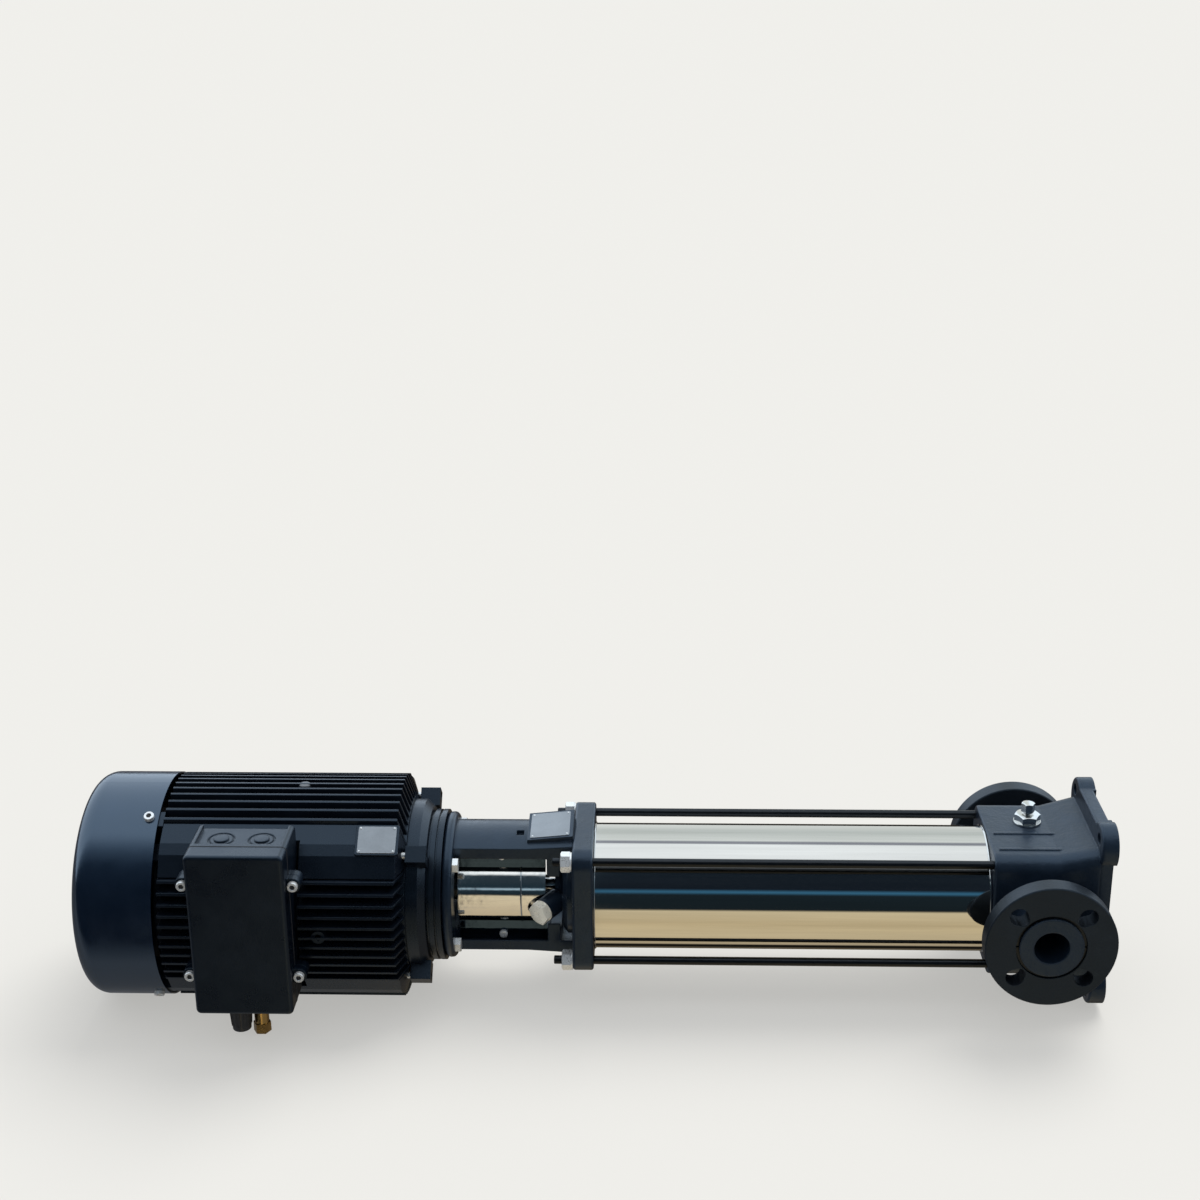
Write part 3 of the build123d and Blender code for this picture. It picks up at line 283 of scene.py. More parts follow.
finishes = {
    cast_paint: ["base_casting"],
    stool_paint: ["motor_stool", "pump_head_cover"],
    flange_paint: ["front_flange", "rear_flange"],
    motor_paint: ["motor_frame", "drive_end_shield", "non_drive_end_shield"],
    cover_paint: ["fan_cover"],
    box_paint: ["terminal_box_base", "terminal_box_lid"],
    rod_steel: ["staybolts", "flange_retaining_rings"],
    mirror_steel: ["outer_sleeve"],
    guard_steel: ["coupling_guard_front", "coupling_guard_rear"],
    zinc_steel: [
        "staybolt_nuts", "staybolt_washers", "motor_bolts",
        "housing_screws", "guard_screws", "coupling_screws",
    ],
    chrome: ["drain_plug", "bypass_spindle"],
    plug_steel: ["priming_plug"],
    brass: ["brass_plug"],
    shaft_steel: ["pump_shaft", "motor_shaft", "coupling_half_left", "coupling_half_right"],
    stage_steel: ["inlet_guide", "discharge_guide"]
    + [f"stage_chamber_{n}" for n in range(1, 10)] + [f"impeller_{n}" for n in range(1, 10)],
    bearing_steel: ["bearing_outer_rings", "bearing_inner_rings"],
    rubber: ["sleeve_seals"],
    gland_plastic: ["cable_gland"],
    seal_carbon: ["shaft_seal_seat", "shaft_seal_ring"],
    fan_plastic: ["cooling_fan"],
    copper_wire: ["stator_windings"],
    core_sheets: ["stator_core", "rotor_core"],
}
for material, nodes in finishes.items():
    for node in nodes:
        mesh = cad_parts[node].data
        mesh.materials.clear()
        mesh.materials.append(material)


# Levels and reaches of the solids, as the part's source gives them
head_top = 0.625
body_top = 0.137
head_low = 0.6005
box_middle = (0.023, 0.996)
box_half = (0.101, 0.056)
ear_face = 0.159
ear_reach = (0.058, 0.0625)
cover_screw_degrees = (-28, 43, 152, 223)
cover_screw_level = 1.116
cover_screw_face = 0.1364
staybolt_side = 0.065
nut_flats = 0.021
nut_height = 0.011
washer_radius = 0.0115
washer_thick = 0.0022
nut_seat = head_top + washer_thick
stud_radius = 0.005
stud_top = nut_seat + nut_height + 0.009
guard_screw_place = (0.0525, 0.028, 0.71025)
sleeve_bead_path = 0.0749
sleeve_bead_gap = 0.0012
guard_seam_path = 0.0440
guard_seam_level = 0.687
guard_seam_half_degrees = 54.0

# Plugs: the drain plug and its spindle from their seat outward, the priming plug along its slanted axis
drain_place = (0.078, 0.020, 0.084)
drain_thread_radius = 0.0098
drain_thread_end = -0.008
drain_hex = (0.0025, 0.0115)
drain_bore = 0.0046
spindle_radius = 0.0045
spindle_end = -0.0014
spindle_hex = (0.0145, 0.0255)
priming_turn_degrees = -10.0
priming_tilt_degrees = 38.0
priming_axis_drop = 0.003
priming_thread_radius = 0.0088
priming_thread_end = 0.050
priming_seat = 0.062
priming_hex = (0.0640, 0.0730)

# The middle of a turned cap ends in a hole this small instead of a point
pole = 0.0001
# A cap laid over the flat head of a screw stands out by this gap, and reaches down past its rim by this skirt
cap_gap = 0.00004
cap_skirt = 0.0008


def new_piece(name, mesh, material, body, smooth_angle=35.0):
    """A finished piece: one mesh, one material, riding on a body."""
    if smooth_angle:
        mesh.shade_smooth()
        mesh.set_sharp_from_angle(angle=radians(smooth_angle))
    mesh.materials.clear()
    mesh.materials.append(material)
    piece = bpy.data.objects.new(name, mesh)
    bpy.context.scene.collection.objects.link(piece)
    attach(piece, body)
    return piece


def mesh_of_rings(name, rings, closed_low=True, closed_high=True):
    """A skin over rings of points that all have the same count."""
    count = len(rings[0])
    points = [point for ring in rings for point in ring]
    faces = []
    for level in range(len(rings) - 1):
        for index in range(count):
            after = (index + 1) % count
            low = level * count
            faces.append((low + index, low + after, low + count + after, low + count + index))
    if closed_low:
        faces.append(tuple(reversed(range(count))))
    if closed_high:
        faces.append(tuple(range((len(rings) - 1) * count, len(rings) * count)))
    mesh = bpy.data.meshes.new(name)
    mesh.from_pydata(points, [], faces)
    mesh.update()
    return mesh


def circle(radius, height, count=36):
    """A ring of points about Z."""
    angles = [2 * pi * n / count for n in range(count)]
    return [(radius * cos(angle), radius * sin(angle), height) for angle in angles]


def hex_ring(flats, height, chamfer_from=0.0, slope=0.0, count=36):
    """A hexagon with its corners dropped by a chamfer that starts at a radius."""
    ring = []
    for n in range(count):
        angle = 2 * pi * n / count
        off_flat = (angle + pi / 6) % (pi / 3) - pi / 6
        radius = flats / 2 / cos(off_flat)
        drop = max(0.0, radius - chamfer_from) * slope
        ring.append((radius * cos(angle), radius * sin(angle), height - drop))
    return ring


def hex_head(flats, low, high, bore=0.0):
    """The rings of a hexagon with a chamfered top, open to a bore if it has one."""
    chamfer_from = 0.475 * flats
    mouth = 0.0006
    rings = [circle(bore, low)] if bore else []
    rings += [hex_ring(flats, low), hex_ring(flats, high, chamfer_from, 0.58), circle(chamfer_from, high)]
    if bore:
        rings += [circle(bore + mouth, high), circle(bore, high - mouth), circle(bore, low)]
    return rings


def turned_rings(profile, count=36):
    """Rings from pairs of radius and height."""
    return [circle(radius, height, count) for radius, height in profile]


def moved(mesh, place):
    mesh.transform(place)
    return mesh


def copies_tree():
    """Copies of one part on every point, turned to face along each point's own direction."""
    tree = bpy.data.node_groups.new("copies_on_points", "GeometryNodeTree")
    tree.interface.new_socket("Points", in_out="INPUT", socket_type="NodeSocketGeometry")
    tree.interface.new_socket("Part", in_out="INPUT", socket_type="NodeSocketObject")
    tree.interface.new_socket("Finish", in_out="INPUT", socket_type="NodeSocketMaterial")
    tree.interface.new_socket("Size", in_out="INPUT", socket_type="NodeSocketFloat").default_value = 1.0
    tree.interface.new_socket("Pieces", in_out="OUTPUT", socket_type="NodeSocketGeometry")
    given = tree.nodes.new("NodeGroupInput")
    part = tree.nodes.new("GeometryNodeObjectInfo")
    facing = tree.nodes.new("GeometryNodeInputNamedAttribute")
    facing.data_type = "FLOAT_VECTOR"
    facing.inputs["Name"].default_value = "facing"
    turn = tree.nodes.new("FunctionNodeAlignRotationToVector")
    turn.axis = "Z"
    place = tree.nodes.new("GeometryNodeInstanceOnPoints")
    real = tree.nodes.new("GeometryNodeRealizeInstances")
    finish = tree.nodes.new("GeometryNodeSetMaterial")
    result = tree.nodes.new("NodeGroupOutput")
    join = tree.links.new
    join(given.outputs["Points"], place.inputs["Points"])
    join(given.outputs["Part"], part.inputs["Object"])
    join(part.outputs["Geometry"], place.inputs["Instance"])
    join(facing.outputs["Attribute"], turn.inputs["Vector"])
    join(turn.outputs["Rotation"], place.inputs["Rotation"])
    join(given.outputs["Size"], place.inputs["Scale"])
    join(place.outputs["Instances"], real.inputs["Geometry"])
    join(real.outputs["Geometry"], finish.inputs["Geometry"])
    join(given.outputs["Finish"], finish.inputs["Material"])
    join(finish.outputs["Geometry"], result.inputs["Pieces"])
    return tree


copies_on_points = copies_tree()


def copies(name, part_mesh, places, material, body, smooth_angle=35.0):
    """The same part at several places: each place is a point and the direction it faces."""
    points = bpy.data.meshes.new(name + "_points")
    points.from_pydata([place for place, facing in places], [], [])
    directions = points.attributes.new("facing", "FLOAT_VECTOR", "POINT")
    for item, (place, facing) in zip(directions.data, places):
        item.vector = facing
    if smooth_angle:
        part_mesh.shade_smooth()
        part_mesh.set_sharp_from_angle(angle=radians(smooth_angle))
    part = bpy.data.objects.new(name + "_part", part_mesh)
    carrier = bpy.data.objects.new(name, points)
    bpy.context.scene.collection.objects.link(carrier)
    modifier = carrier.modifiers.new("copies", "NODES")
    modifier.node_group = copies_on_points
    given = {"Part": part, "Finish": material, "Size": 1.0}
    for item in copies_on_points.interface.items_tree:
        if item.in_out == "INPUT" and item.name in given:
            modifier[item.identifier] = given[item.name]
    shown = carrier.evaluated_get(bpy.context.evaluated_depsgraph_get())
    mesh = bpy.data.meshes.new_from_object(shown)
    bpy.data.objects.remove(carrier)
    bpy.data.objects.remove(part)
    return new_piece(name, mesh, material, body, 0.0)


def along(direction, origin=(0.0, 0.0, 0.0)):
    """A placement whose own Z points along a direction."""
    return Matrix.Translation(origin) @ Vector(direction).to_track_quat("Z", "Y").to_matrix().to_4x4()


# Nuts, plugs and screws
def on_head_corners(level):
    """The four corners of the head plate at a level, facing up."""
    up = (0.0, 0.0, 1.0)
    return [((x * staybolt_side, y * staybolt_side, level), up) for x in (-1, 1) for y in (-1, 1)]


def staybolt_nut():
    return mesh_of_rings("nut", hex_head(nut_flats, 0.0, nut_height, stud_radius + 0.0001), False, False)


def staybolt_washer():
    inner = stud_radius + 0.0002
    edge = 0.0003
    return mesh_of_rings("washer", turned_rings([
        (inner, 0.0), (washer_radius - 0.0002, 0.0), (washer_radius, edge),
        (washer_radius, washer_thick - edge), (washer_radius - edge, washer_thick),
        (inner, washer_thick), (inner, 0.0),
    ]), False, False)


def stud_thread():
    """The turns that show above the nut."""
    profile = [(stud_radius - 0.0004, 0.0)]
    turns = 6
    pitch = (stud_top - nut_seat - nut_height) / (turns + 0.5)
    for turn in range(turns):
        profile.append((stud_radius + 0.00025, (turn + 0.5) * pitch))
        profile.append((stud_radius - 0.0003, (turn + 1.0) * pitch))
    profile.append((stud_radius - 0.0012, (turns + 0.5) * pitch + 0.0004))
    return mesh_of_rings("thread", turned_rings(profile, 24))


nuts = copies("staybolt_hex_nuts", staybolt_nut(), on_head_corners(nut_seat), zinc_steel, "pump")
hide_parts("staybolt_nuts")
washers = copies("staybolt_round_washers", staybolt_washer(), on_head_corners(head_top), zinc_steel, "pump")
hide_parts("staybolt_washers")
thread_places = on_head_corners(nut_seat + nut_height)
copies("staybolt_threads", stud_thread(), thread_places, rod_steel, "pump", 60.0)


def drain_plug_mesh():
    """A threaded shank, a round collar and a hexagon that is open where the spindle runs."""
    low, high = drain_hex
    lip = high - 0.0005
    rings = turned_rings([
        (pole, drain_thread_end), (drain_thread_radius, drain_thread_end), (drain_thread_radius, 0.0),
        (0.0160, 0.0), (0.0165, 0.0004), (0.0165, 0.0019), (0.0161, low),
    ])
    rings += hex_head(0.027, low, high)
    rings += turned_rings([(0.0062, high), (0.0056, lip), (drain_bore, lip), (drain_bore, -0.0020)])
    return mesh_of_rings("drain", rings)


def spindle_mesh():
    """A round neck with a hexagon at its end."""
    low, high = spindle_hex
    rings = turned_rings([(pole, spindle_end), (spindle_radius, spindle_end), (spindle_radius, low)])
    rings += hex_head(0.014, low, high)
    return mesh_of_rings("spindle", rings)


def priming_plug_mesh():
    """A threaded shank, a round collar and a hexagon with a small dimple."""
    low, high = priming_hex
    rings = turned_rings([
        (pole, priming_thread_end), (priming_thread_radius, priming_thread_end),
        (priming_thread_radius, priming_seat), (0.0132, priming_seat),
        (0.0135, priming_seat + 0.0004), (0.0132, low),
    ])
    rings += hex_head(0.025, low, high)
    rings += turned_rings([(0.0030, high), (0.0024, high - 0.0008)])
    return mesh_of_rings("priming", rings)


drain_seat = along((1.0, 0.0, 0.0), drain_place)
drain = new_piece("drain_hex_plug", moved(drain_plug_mesh(), drain_seat), chrome, "pump")
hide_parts("drain_plug")
spindle = new_piece("bypass_hex_spindle", moved(spindle_mesh(), drain_seat), chrome, "bypass_valve")
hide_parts("bypass_spindle")
plug_turn = radians(priming_turn_degrees)
plug_tilt = radians(priming_tilt_degrees)
plug_way = (sin(plug_turn) * cos(plug_tilt), -cos(plug_turn) * cos(plug_tilt), sin(plug_tilt))
plug_axis = along(plug_way, (0.0, 0.0, head_top - priming_axis_drop))
priming = new_piece("priming_hex_plug", moved(priming_plug_mesh(), plug_axis), plug_steel, "pump")
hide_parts("priming_plug")


def socket_cap(radius, flats, height):
    """A rounded rim with a hexagon socket, laid over the flat head of a screw."""
    rim = 0.0003
    floor_level = 0.00005
    return mesh_of_rings("socket", [
        circle(radius + cap_gap, -cap_skirt), circle(radius + cap_gap, height * 0.45),
        circle(radius * 0.90, height), hex_ring(flats + 2 * rim, height),
        hex_ring(flats, height - rim), hex_ring(flats, floor_level), circle(0.0002, floor_level),
    ], False, True)


box_screws = [
    ((box_middle[0] + x * ear_reach[0], -ear_face, box_middle[1] + z * ear_reach[1]), (0.0, -1.0, 0.0))
    for x in (-1, 1) for z in (-1, 1)
]
cover_screws = []
for degrees in cover_screw_degrees:
    way = Vector((cos(radians(degrees)), sin(radians(degrees)), 0.0))
    cover_screws.append((tuple(way * cover_screw_face + Vector((0.0, 0.0, cover_screw_level))), tuple(way)))
socket_head = socket_cap(radius=0.006, flats=0.0055, height=0.0016)
copies("socket_screw_heads", socket_head, box_screws + cover_screws, zinc_steel, "pump")
# Black sheets in the bottoms of the screw sockets: painted shade, given the black rubber finish.
shade_flats = 0.0054
socket_shade = mesh_of_rings("shade", [hex_ring(shade_flats, 0.0), hex_ring(shade_flats, 0.0005)])
copies("screw_socket_bottoms", socket_shade, box_screws + cover_screws, rubber, "pump", 0.0)


def crowned_disc(radius, height):
    """A low round cap with a soft rim, standing on a face."""
    return mesh_of_rings("disc", turned_rings([
        (radius, -0.0002), (radius, height * 0.55), (radius - 0.0006, height * 0.85),
        (radius * 0.5, height), (pole, height),
    ], 48), False, True)


knockout_floor = (0.1195, -0.1185)
knockout_reach = 0.023
knockouts = [((*knockout_floor, box_middle[1] + side * knockout_reach), (1.0, 0.0, 0.0)) for side in (-1, 1)]
copies("knockout_discs", crowned_disc(radius=0.0088, height=0.0020), knockouts, box_paint, "pump")
boss_face = 0.130
boss_level = 0.9445
boss_cap_place = along((1.0, 0.0, 0.0), (boss_face, 0.0, boss_level))
grey_plastic = dull("grey_cap_plastic", (0.085, 0.092, 0.100), 0.45)
boss_cap = moved(crowned_disc(radius=0.0068, height=0.0026), boss_cap_place)
new_piece("fin_boss_cap", boss_cap, grey_plastic, "pump")


def pan_cap(radius, height):
    """A domed pan head with a dimple."""
    return mesh_of_rings("pan", turned_rings([
        (radius + cap_gap, -cap_skirt), (radius, height * 0.4), (radius * 0.8, height * 0.85),
        (radius * 0.45, height), (radius * 0.2, height * 0.95), (pole, height * 0.5),
    ]), False, True)


guard_screw_heads = [
    ((x * guard_screw_place[0], y * guard_screw_place[1], guard_screw_place[2]), (0.0, y, 0.0))
    for x in (-1, 1) for y in (-1, 1)
]
copies("guard_pan_heads", pan_cap(radius=0.005, height=0.0012), guard_screw_heads, zinc_steel, "pump")


# Plates, seams and beads
def flat_plate(name, wide, high, thick, corner):
    """A thin plate with round corners, centred on its underside, its face up."""
    rings = []
    for inset, level in ((0.0, 0.0), (0.0, thick * 0.7), (thick * 0.3, thick)):
        ring = []
        for x, y, start in ((1, 1, 0), (-1, 1, 90), (-1, -1, 180), (1, -1, 270)):
            for step in range(6):
                angle = radians(start + 18 * step)
                ring.append((
                    x * (wide / 2 - corner) + (corner - inset) * cos(angle),
                    y * (high / 2 - corner) + (corner - inset) * sin(angle),
                    level,
                ))
        rings.append(ring)
    return mesh_of_rings(name, rings)


def frame_for(origin, across, outward):
    """A placement with its own X across the plate and its own Z outward."""
    out = Vector(outward).normalized()
    side = (Vector(across) - Vector(across).dot(out) * out).normalized()
    return Matrix.Translation(origin) @ Matrix((side, out.cross(side), out)).transposed().to_4x4()


def lifted(place, height):
    """A placement moved along its own Z."""
    return place @ Matrix.Translation((0, 0, height))


def corner_places(place, side, rise, lift):
    """Four corners about a placement, each with the way it faces."""
    outward = tuple(place.to_3x3() @ Vector((0, 0, 1)))
    return [(tuple(place @ Vector((x * side, y * rise, lift))), outward) for x in (-1, 1) for y in (-1, 1)]


plate_metal = metal(
    "dull_plate_aluminium", (0.30, 0.31, 0.32), 0.38, line_scale=700.0, line_depth=0.00001, spots=0.2,
)
motor_plate_place = frame_for((0.1012, -0.0838, 0.848), (-0.024, -0.032, 0.0), (0.032, -0.024, 0.0))
rating_seat = flat_plate("rating_seat", wide=0.039, high=0.050, thick=0.0022, corner=0.003)
new_piece("rating_plate_seat", moved(rating_seat, lifted(motor_plate_place, -0.0012)), motor_paint, "pump")
rating = flat_plate("rating", wide=0.034, high=0.044, thick=0.0008, corner=0.002)
new_piece("rating_plate_bare", moved(rating, lifted(motor_plate_place, 0.0010)), plate_metal, "pump")
pad_turn = radians(-9.0)
pad_fall = 0.006
pad_rise = 0.054
pad_stand = 0.00295
pad_slope = atan2(pad_fall, pad_rise)
pad_out = Vector((cos(pad_turn) * cos(pad_slope), sin(pad_turn) * cos(pad_slope), sin(pad_slope)))
pad_across = Vector((-sin(pad_turn), cos(pad_turn), 0.0))
pad_middle = Vector((0.080, -0.005, 0.6525)) + Vector((cos(pad_turn), sin(pad_turn), 0.0)) * pad_stand
name_place = frame_for(pad_middle, pad_across, pad_out)
name_plate = flat_plate("name", wide=0.048, high=0.047, thick=0.0007, corner=0.002)
new_piece("name_plate_bare", moved(name_plate, name_place), plate_metal, "pump")
rivet = mesh_of_rings("rivet", turned_rings([
    (0.0013, -0.0002), (0.0013, 0.0002), (0.0009, 0.0007), (pole, 0.0009),
], 16), False, True)
rivet_places = corner_places(motor_plate_place, side=0.0145, rise=0.0195, lift=0.0018)
rivet_places += corner_places(name_place, side=0.021, rise=0.0205, lift=0.0006)
copies("plate_rivets", rivet, rivet_places, zinc_steel, "pump")


def bead_ring(name, radius, level, thick, start=0.0, end=360.0, steps=96):
    """A round bead about the shaft axis, all the way or over an arc in degrees."""
    rings = []
    whole = abs(end - start) >= 360.0
    for step in range(steps if whole else steps + 1):
        angle = radians(start + (end - start) * step / steps)
        ring = []
        for turn in [2 * pi * n / 10 for n in range(10)]:
            reach = radius + thick * cos(turn)
            ring.append((reach * cos(angle), reach * sin(angle), level + thick * sin(turn)))
        rings.append(ring)
    if whole:
        rings.append(rings[0])
    return mesh_of_rings(name, rings, not whole, not whole)


sleeve_beads = (
    ("sleeve_bead_low", body_top + sleeve_bead_gap),
    ("sleeve_bead_high", head_low - sleeve_bead_gap),
)
for name, level in sleeve_beads:
    new_piece(name, bead_ring(name, sleeve_bead_path, level, thick=0.0011), mirror_steel, "pump")
for name, middle in (("guard_seam_front", 270.0), ("guard_seam_rear", 90.0)):
    start = middle - guard_seam_half_degrees
    end = middle + guard_seam_half_degrees
    seam = bead_ring(name, guard_seam_path, guard_seam_level, 0.0010, start, end, 48)
    new_piece(name, seam, guard_steel, "pump")


def gland_rib():
    """One grip rib of the gland's cap, standing on its cone."""
    wide = 0.0011
    deep = 0.0009
    long = 0.024
    return mesh_of_rings("rib", [
        [(x * wide, y * deep, z) for x, y in ((-1, -1), (1, -1), (1, 1), (-1, 1))] for z in (0.0, long)
    ])


gland_end = Vector((-0.078, -0.130, 1.0105))
gland_outward = Vector((-1.0, 0.0, 0.0))
rib_count = 18
rib_start = 0.0125
rib_reach = 0.0124
rib_slope = 0.07
rib_places = []
for index in range(rib_count):
    angle = 2 * pi * index / rib_count
    way = Vector((0.0, cos(angle), sin(angle)))
    foot = gland_end + way * rib_reach + gland_outward * rib_start
    rib_places.append((tuple(foot), tuple(gland_outward - rib_slope * way)))
copies("gland_grip_ribs", gland_rib(), rib_places, gland_plastic, "pump", 0.0)
gasket_edge = 0.0008
gasket_depth = 0.1444
gasket = flat_plate(
    "gasket", wide=2 * box_half[0] + gasket_edge, high=2 * box_half[1] + gasket_edge,
    thick=0.0012, corner=0.0064,
)
gasket_place = frame_for((box_middle[0], -gasket_depth, box_middle[1]), (1.0, 0.0, 0.0), (0.0, -1.0, 0.0))
new_piece("box_gasket", moved(gasket, gasket_place), rubber, "pump")


def look_from_photo():
    """The camera that took the photograph."""
    data = bpy.data.cameras.new("photo_camera")
    data.sensor_width = sensor_millimetres
    data.lens = focal_pixels / picture_pixels * data.sensor_width
    camera = bpy.data.objects.new("photo_camera", data)
    bpy.context.scene.collection.objects.link(camera)
    forward = Vector((
        -sin(camera_tilt), cos(camera_pan) * cos(camera_tilt), -sin(camera_pan) * cos(camera_tilt),
    ))
    level = Vector((0.0, -sin(camera_pan), -cos(camera_pan)))
    rise = level.cross(forward)
    if rise.x < 0:
        rise = -rise
    right = cos(camera_roll) * level + sin(camera_roll) * rise
    top = cos(camera_roll) * rise - sin(camera_roll) * level
    turn = Matrix((right, top, -forward)).transposed()
    camera.matrix_world = Matrix.Translation(camera_place) @ turn.to_4x4()
    bpy.context.scene.camera = camera
    return camera


def floor():
    """A pale sheet under the lying pump, seen only from its upper side."""
    middle = Vector((floor_at_base[0], 0.0, floor_at_base[1]))
    run = (Vector((floor_at_motor[0], 0.0, floor_at_motor[1])) - middle).normalized()
    side = Vector((0.0, 1.0, 0.0))
    turns = ((-1, -1), (-1, 1), (1, 1), (1, -1))
    mesh = bpy.data.meshes.new("floor")
    corners = [middle + u * floor_half * run + v * floor_half * side for u, v in turns]
    mesh.from_pydata(corners, [], [(0, 1, 2, 3)])
    mesh.update()
    if mesh.polygons[0].normal.x < 0:
        mesh.flip_normals()
    sheet = bpy.data.objects.new("floor", mesh)
    bpy.context.scene.collection.objects.link(sheet)
    material = bpy.data.materials.new("pale_floor")
    material.use_nodes = True
    tree = material.node_tree
    tree.nodes.clear()
    glow = add_node(tree, "ShaderNodeEmission", Color=(*floor_glow, 1.0), Strength=1.0)
    matte = add_node(tree, "ShaderNodeBsdfDiffuse", Color=(*floor_colour, 1.0))
    both = add_node(tree, "ShaderNodeAddShader", at0=glow.outputs[0], at1=matte.outputs[0])
    clear = add_node(tree, "ShaderNodeBsdfTransparent")
    geometry = add_node(tree, "ShaderNodeNewGeometry")
    mixed = add_node(
        tree, "ShaderNodeMixShader",
        at0=geometry.outputs["Backfacing"], at1=both.outputs[0], at2=clear.outputs[0],
    )
    output = add_node(tree, "ShaderNodeOutputMaterial")
    tree.links.new(mixed.outputs[0], output.inputs["Surface"])
    mesh.materials.append(material)
    sheet.visible_glossy = False
    return sheet


# What gloss mirrors, by angle in degrees: 0 faces -Y, 90 faces +X, 180 faces +Y
seen_by_sleeve = [
    (-180.0, (0.11, 0.09, 0.06)),
    (-125.0, (0.11, 0.09, 0.06)),
    (-121.0, (0.010, 0.009, 0.007)),
    (-109.0, (0.010, 0.009, 0.007)),
    (-105.0, (0.52, 0.43, 0.29)),
    (-70.0, (0.80, 0.67, 0.43)),
    (-45.0, (0.72, 0.59, 0.36)),
    (-19.5, (0.82, 0.70, 0.46)),
    (-16.0, (0.012, 0.02, 0.026)),
    (12.0, (0.012, 0.022, 0.03)),
    (17.0, (0.05, 0.19, 0.34)),
    (22.0, (0.010, 0.016, 0.026)),
    (60.5, (0.010, 0.018, 0.028)),
    (66.0, (1.14, 1.22, 1.30)),
    (110.0, (1.16, 1.25, 1.32)),
    (112.5, (0.34, 0.37, 0.44)),
    (117.0, (0.34, 0.37, 0.44)),
    (120.0, (0.92, 1.00, 1.02)),
    (150.0, (0.74, 0.82, 0.83)),
    (179.9, (0.90, 0.95, 0.95)),
]
seen_by_guard = [
    (-180.0, (0.10, 0.085, 0.06)),
    (-127.0, (0.10, 0.085, 0.06)),
    (-121.0, (0.55, 0.45, 0.30)),
    (-60.0, (0.66, 0.55, 0.38)),
    (-10.0, (0.86, 0.74, 0.52)),
    (-5.0, (0.012, 0.022, 0.030)),
    (8.0, (0.012, 0.03, 0.045)),
    (12.5, (0.50, 0.70, 0.86)),
    (17.0, (0.012, 0.03, 0.045)),
    (54.0, (0.020, 0.035, 0.050)),
    (60.0, (1.20, 1.28, 1.34)),
    (80.0, (1.20, 1.28, 1.34)),
    (92.0, (1.10, 1.26, 1.42)),
    (179.9, (1.10, 1.28, 1.48)),
]
seen_by_motor = [
    (-180.0, (0.12, 0.12, 0.13)),
    (-104.0, (0.17, 0.18, 0.19)),
    (-62.0, (0.30, 0.31, 0.32)),
    (-44.0, (0.14, 0.155, 0.17)),
    (-36.0, (0.025, 0.03, 0.04)),
    (18.0, (0.015, 0.024, 0.034)),
    (46.0, (0.05, 0.08, 0.11)),
    (62.0, (0.40, 0.52, 0.64)),
    (76.0, (1.25, 1.43, 1.62)),
    (179.9, (1.20, 1.40, 1.62)),
]
seen_by_base = [
    (-180.0, (0.11, 0.10, 0.09)),
    (-109.0, (0.10, 0.09, 0.08)),
    (-105.0, (0.22, 0.20, 0.17)),
    (-19.5, (0.25, 0.24, 0.22)),
    (-16.0, (0.08, 0.11, 0.14)),
    (20.0, (0.10, 0.14, 0.18)),
    (55.0, (0.16, 0.22, 0.29)),
    (66.0, (1.10, 1.26, 1.42)),
    (110.0, (1.15, 1.33, 1.50)),
    (179.9, (1.10, 1.30, 1.50)),
]
# Each set of bands takes over from the one before between two heights of the sky, -1 to 1 along the shaft
zones = [
    (seen_by_sleeve, -0.240, -0.181),
    (seen_by_motor, 0.035, 0.041),
    (seen_by_guard, 0.051, 0.057),
    (seen_by_motor, 0.107, 0.113),
]


def banded(tree, share, bands):
    """A ramp round the shaft from pairs of angle and colour."""
    return ramp(tree, share, [((degree + 180.0) / 360.0, colour) for degree, colour in bands])


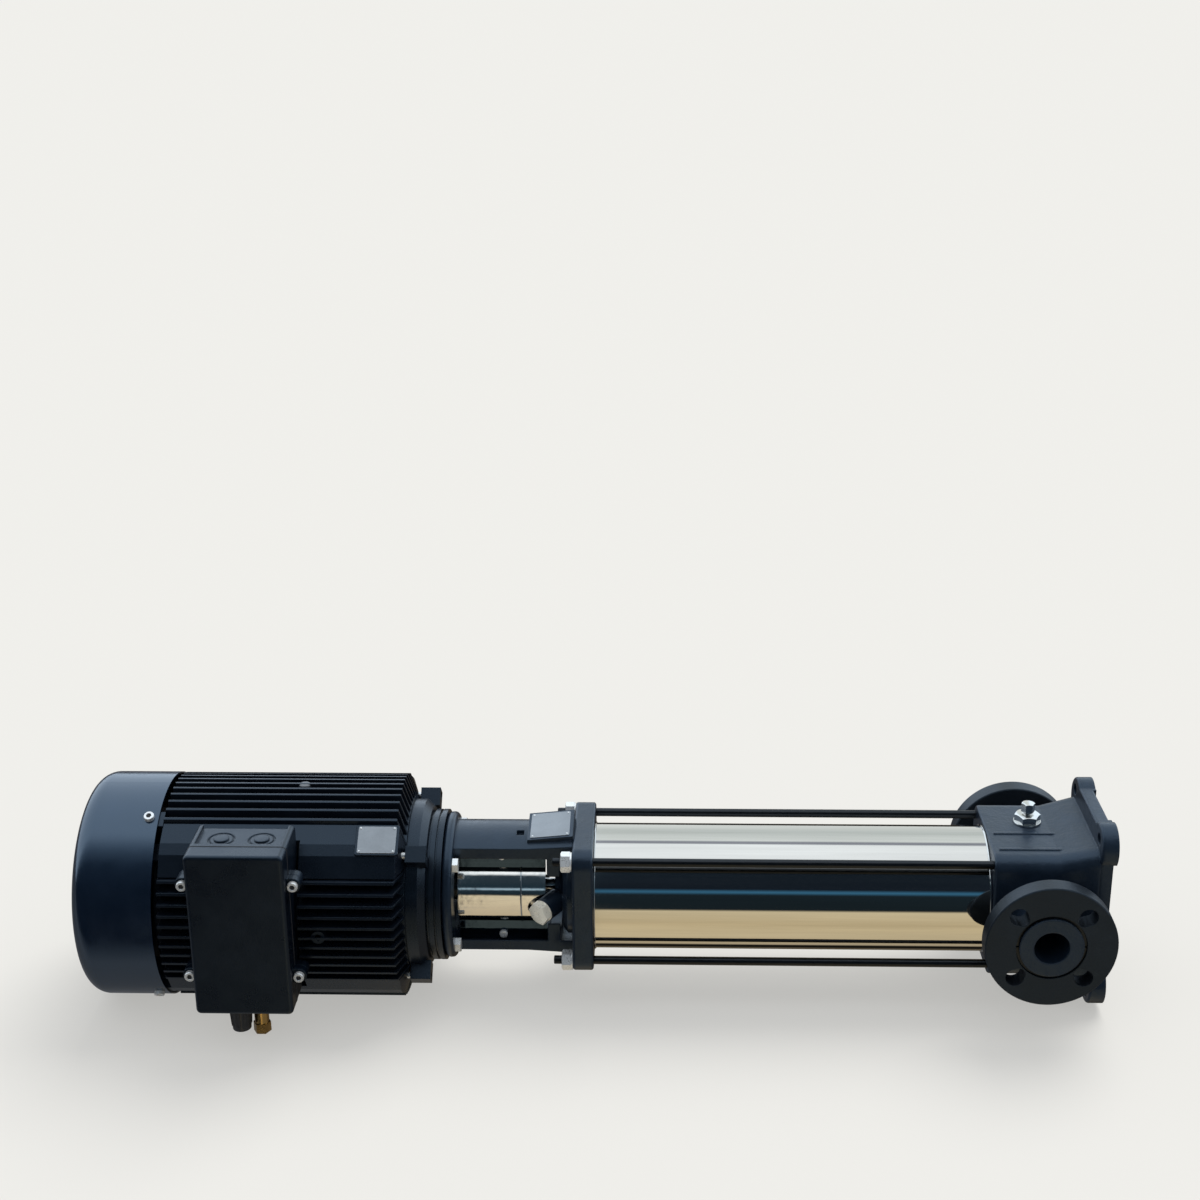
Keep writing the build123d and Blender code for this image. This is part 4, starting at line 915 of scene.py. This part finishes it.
def surroundings():
    """A pale world for the eye, a soft sky for matt surfaces, and bands along the shaft for gloss."""
    world = bpy.data.worlds.new("studio")
    bpy.context.scene.world = world
    world.use_nodes = True
    tree = world.node_tree
    tree.nodes.clear()
    coordinates = add_node(tree, "ShaderNodeTexCoord")
    parts = add_node(tree, "ShaderNodeSeparateXYZ", Vector=coordinates.outputs["Generated"])
    towards = add_node(tree, "ShaderNodeMath", {"operation": "MULTIPLY"}, at0=parts.outputs["Y"], at1=-1.0)
    angle = add_node(
        tree, "ShaderNodeMath", {"operation": "ARCTAN2"}, at0=parts.outputs["X"], at1=towards.outputs[0],
    )
    share = spread(tree, angle.outputs[0], -pi, pi, 0.0, 1.0)
    mirrored = banded(tree, share, seen_by_base)
    for bands, low, high in zones:
        past = spread(tree, parts.outputs["Z"], low, high, 0.0, 1.0)
        mirrored = mixed_colour(tree, past, mirrored, banded(tree, share, bands))
    sky = ramp(tree, spread(tree, parts.outputs["X"], -1.0, 1.0, 0.0, 1.0), [
        (0.0, (0.40, 0.38, 0.35)),
        (0.45, (0.20, 0.22, 0.25)),
        (0.6, (0.50, 0.55, 0.61)),
        (1.0, (1.15, 1.21, 1.31)),
    ])
    path = add_node(tree, "ShaderNodeLightPath")
    lit = mixed_colour(tree, path.outputs["Is Glossy Ray"], sky, mirrored)
    shown = mixed_colour(tree, path.outputs["Is Camera Ray"], lit, (*paper, 1.0))
    background = add_node(tree, "ShaderNodeBackground", Color=shown, Strength=1.0)
    output = add_node(tree, "ShaderNodeOutputWorld")
    tree.links.new(background.outputs[0], output.inputs["Surface"])


def soft_sun(name, towards, strength, spread_degrees, colour):
    """Light from one side of the room, with soft edges to its shadows."""
    data = bpy.data.lights.new(name, "SUN")
    data.energy = strength
    data.angle = radians(spread_degrees)
    data.color = colour
    light = bpy.data.objects.new(name, data)
    bpy.context.scene.collection.objects.link(light)
    light.rotation_mode = "QUATERNION"
    light.rotation_quaternion = Vector(towards).to_track_quat("Z", "Y")
    light.visible_glossy = False
    return light


look_from_photo()
floor()
surroundings()
soft_sun(
    "window_light", towards=(1.0, 0.55, -0.35), strength=3.3, spread_degrees=42.0, colour=(1.0, 1.0, 0.99),
)
bpy.context.scene.view_settings.view_transform = "Standard"
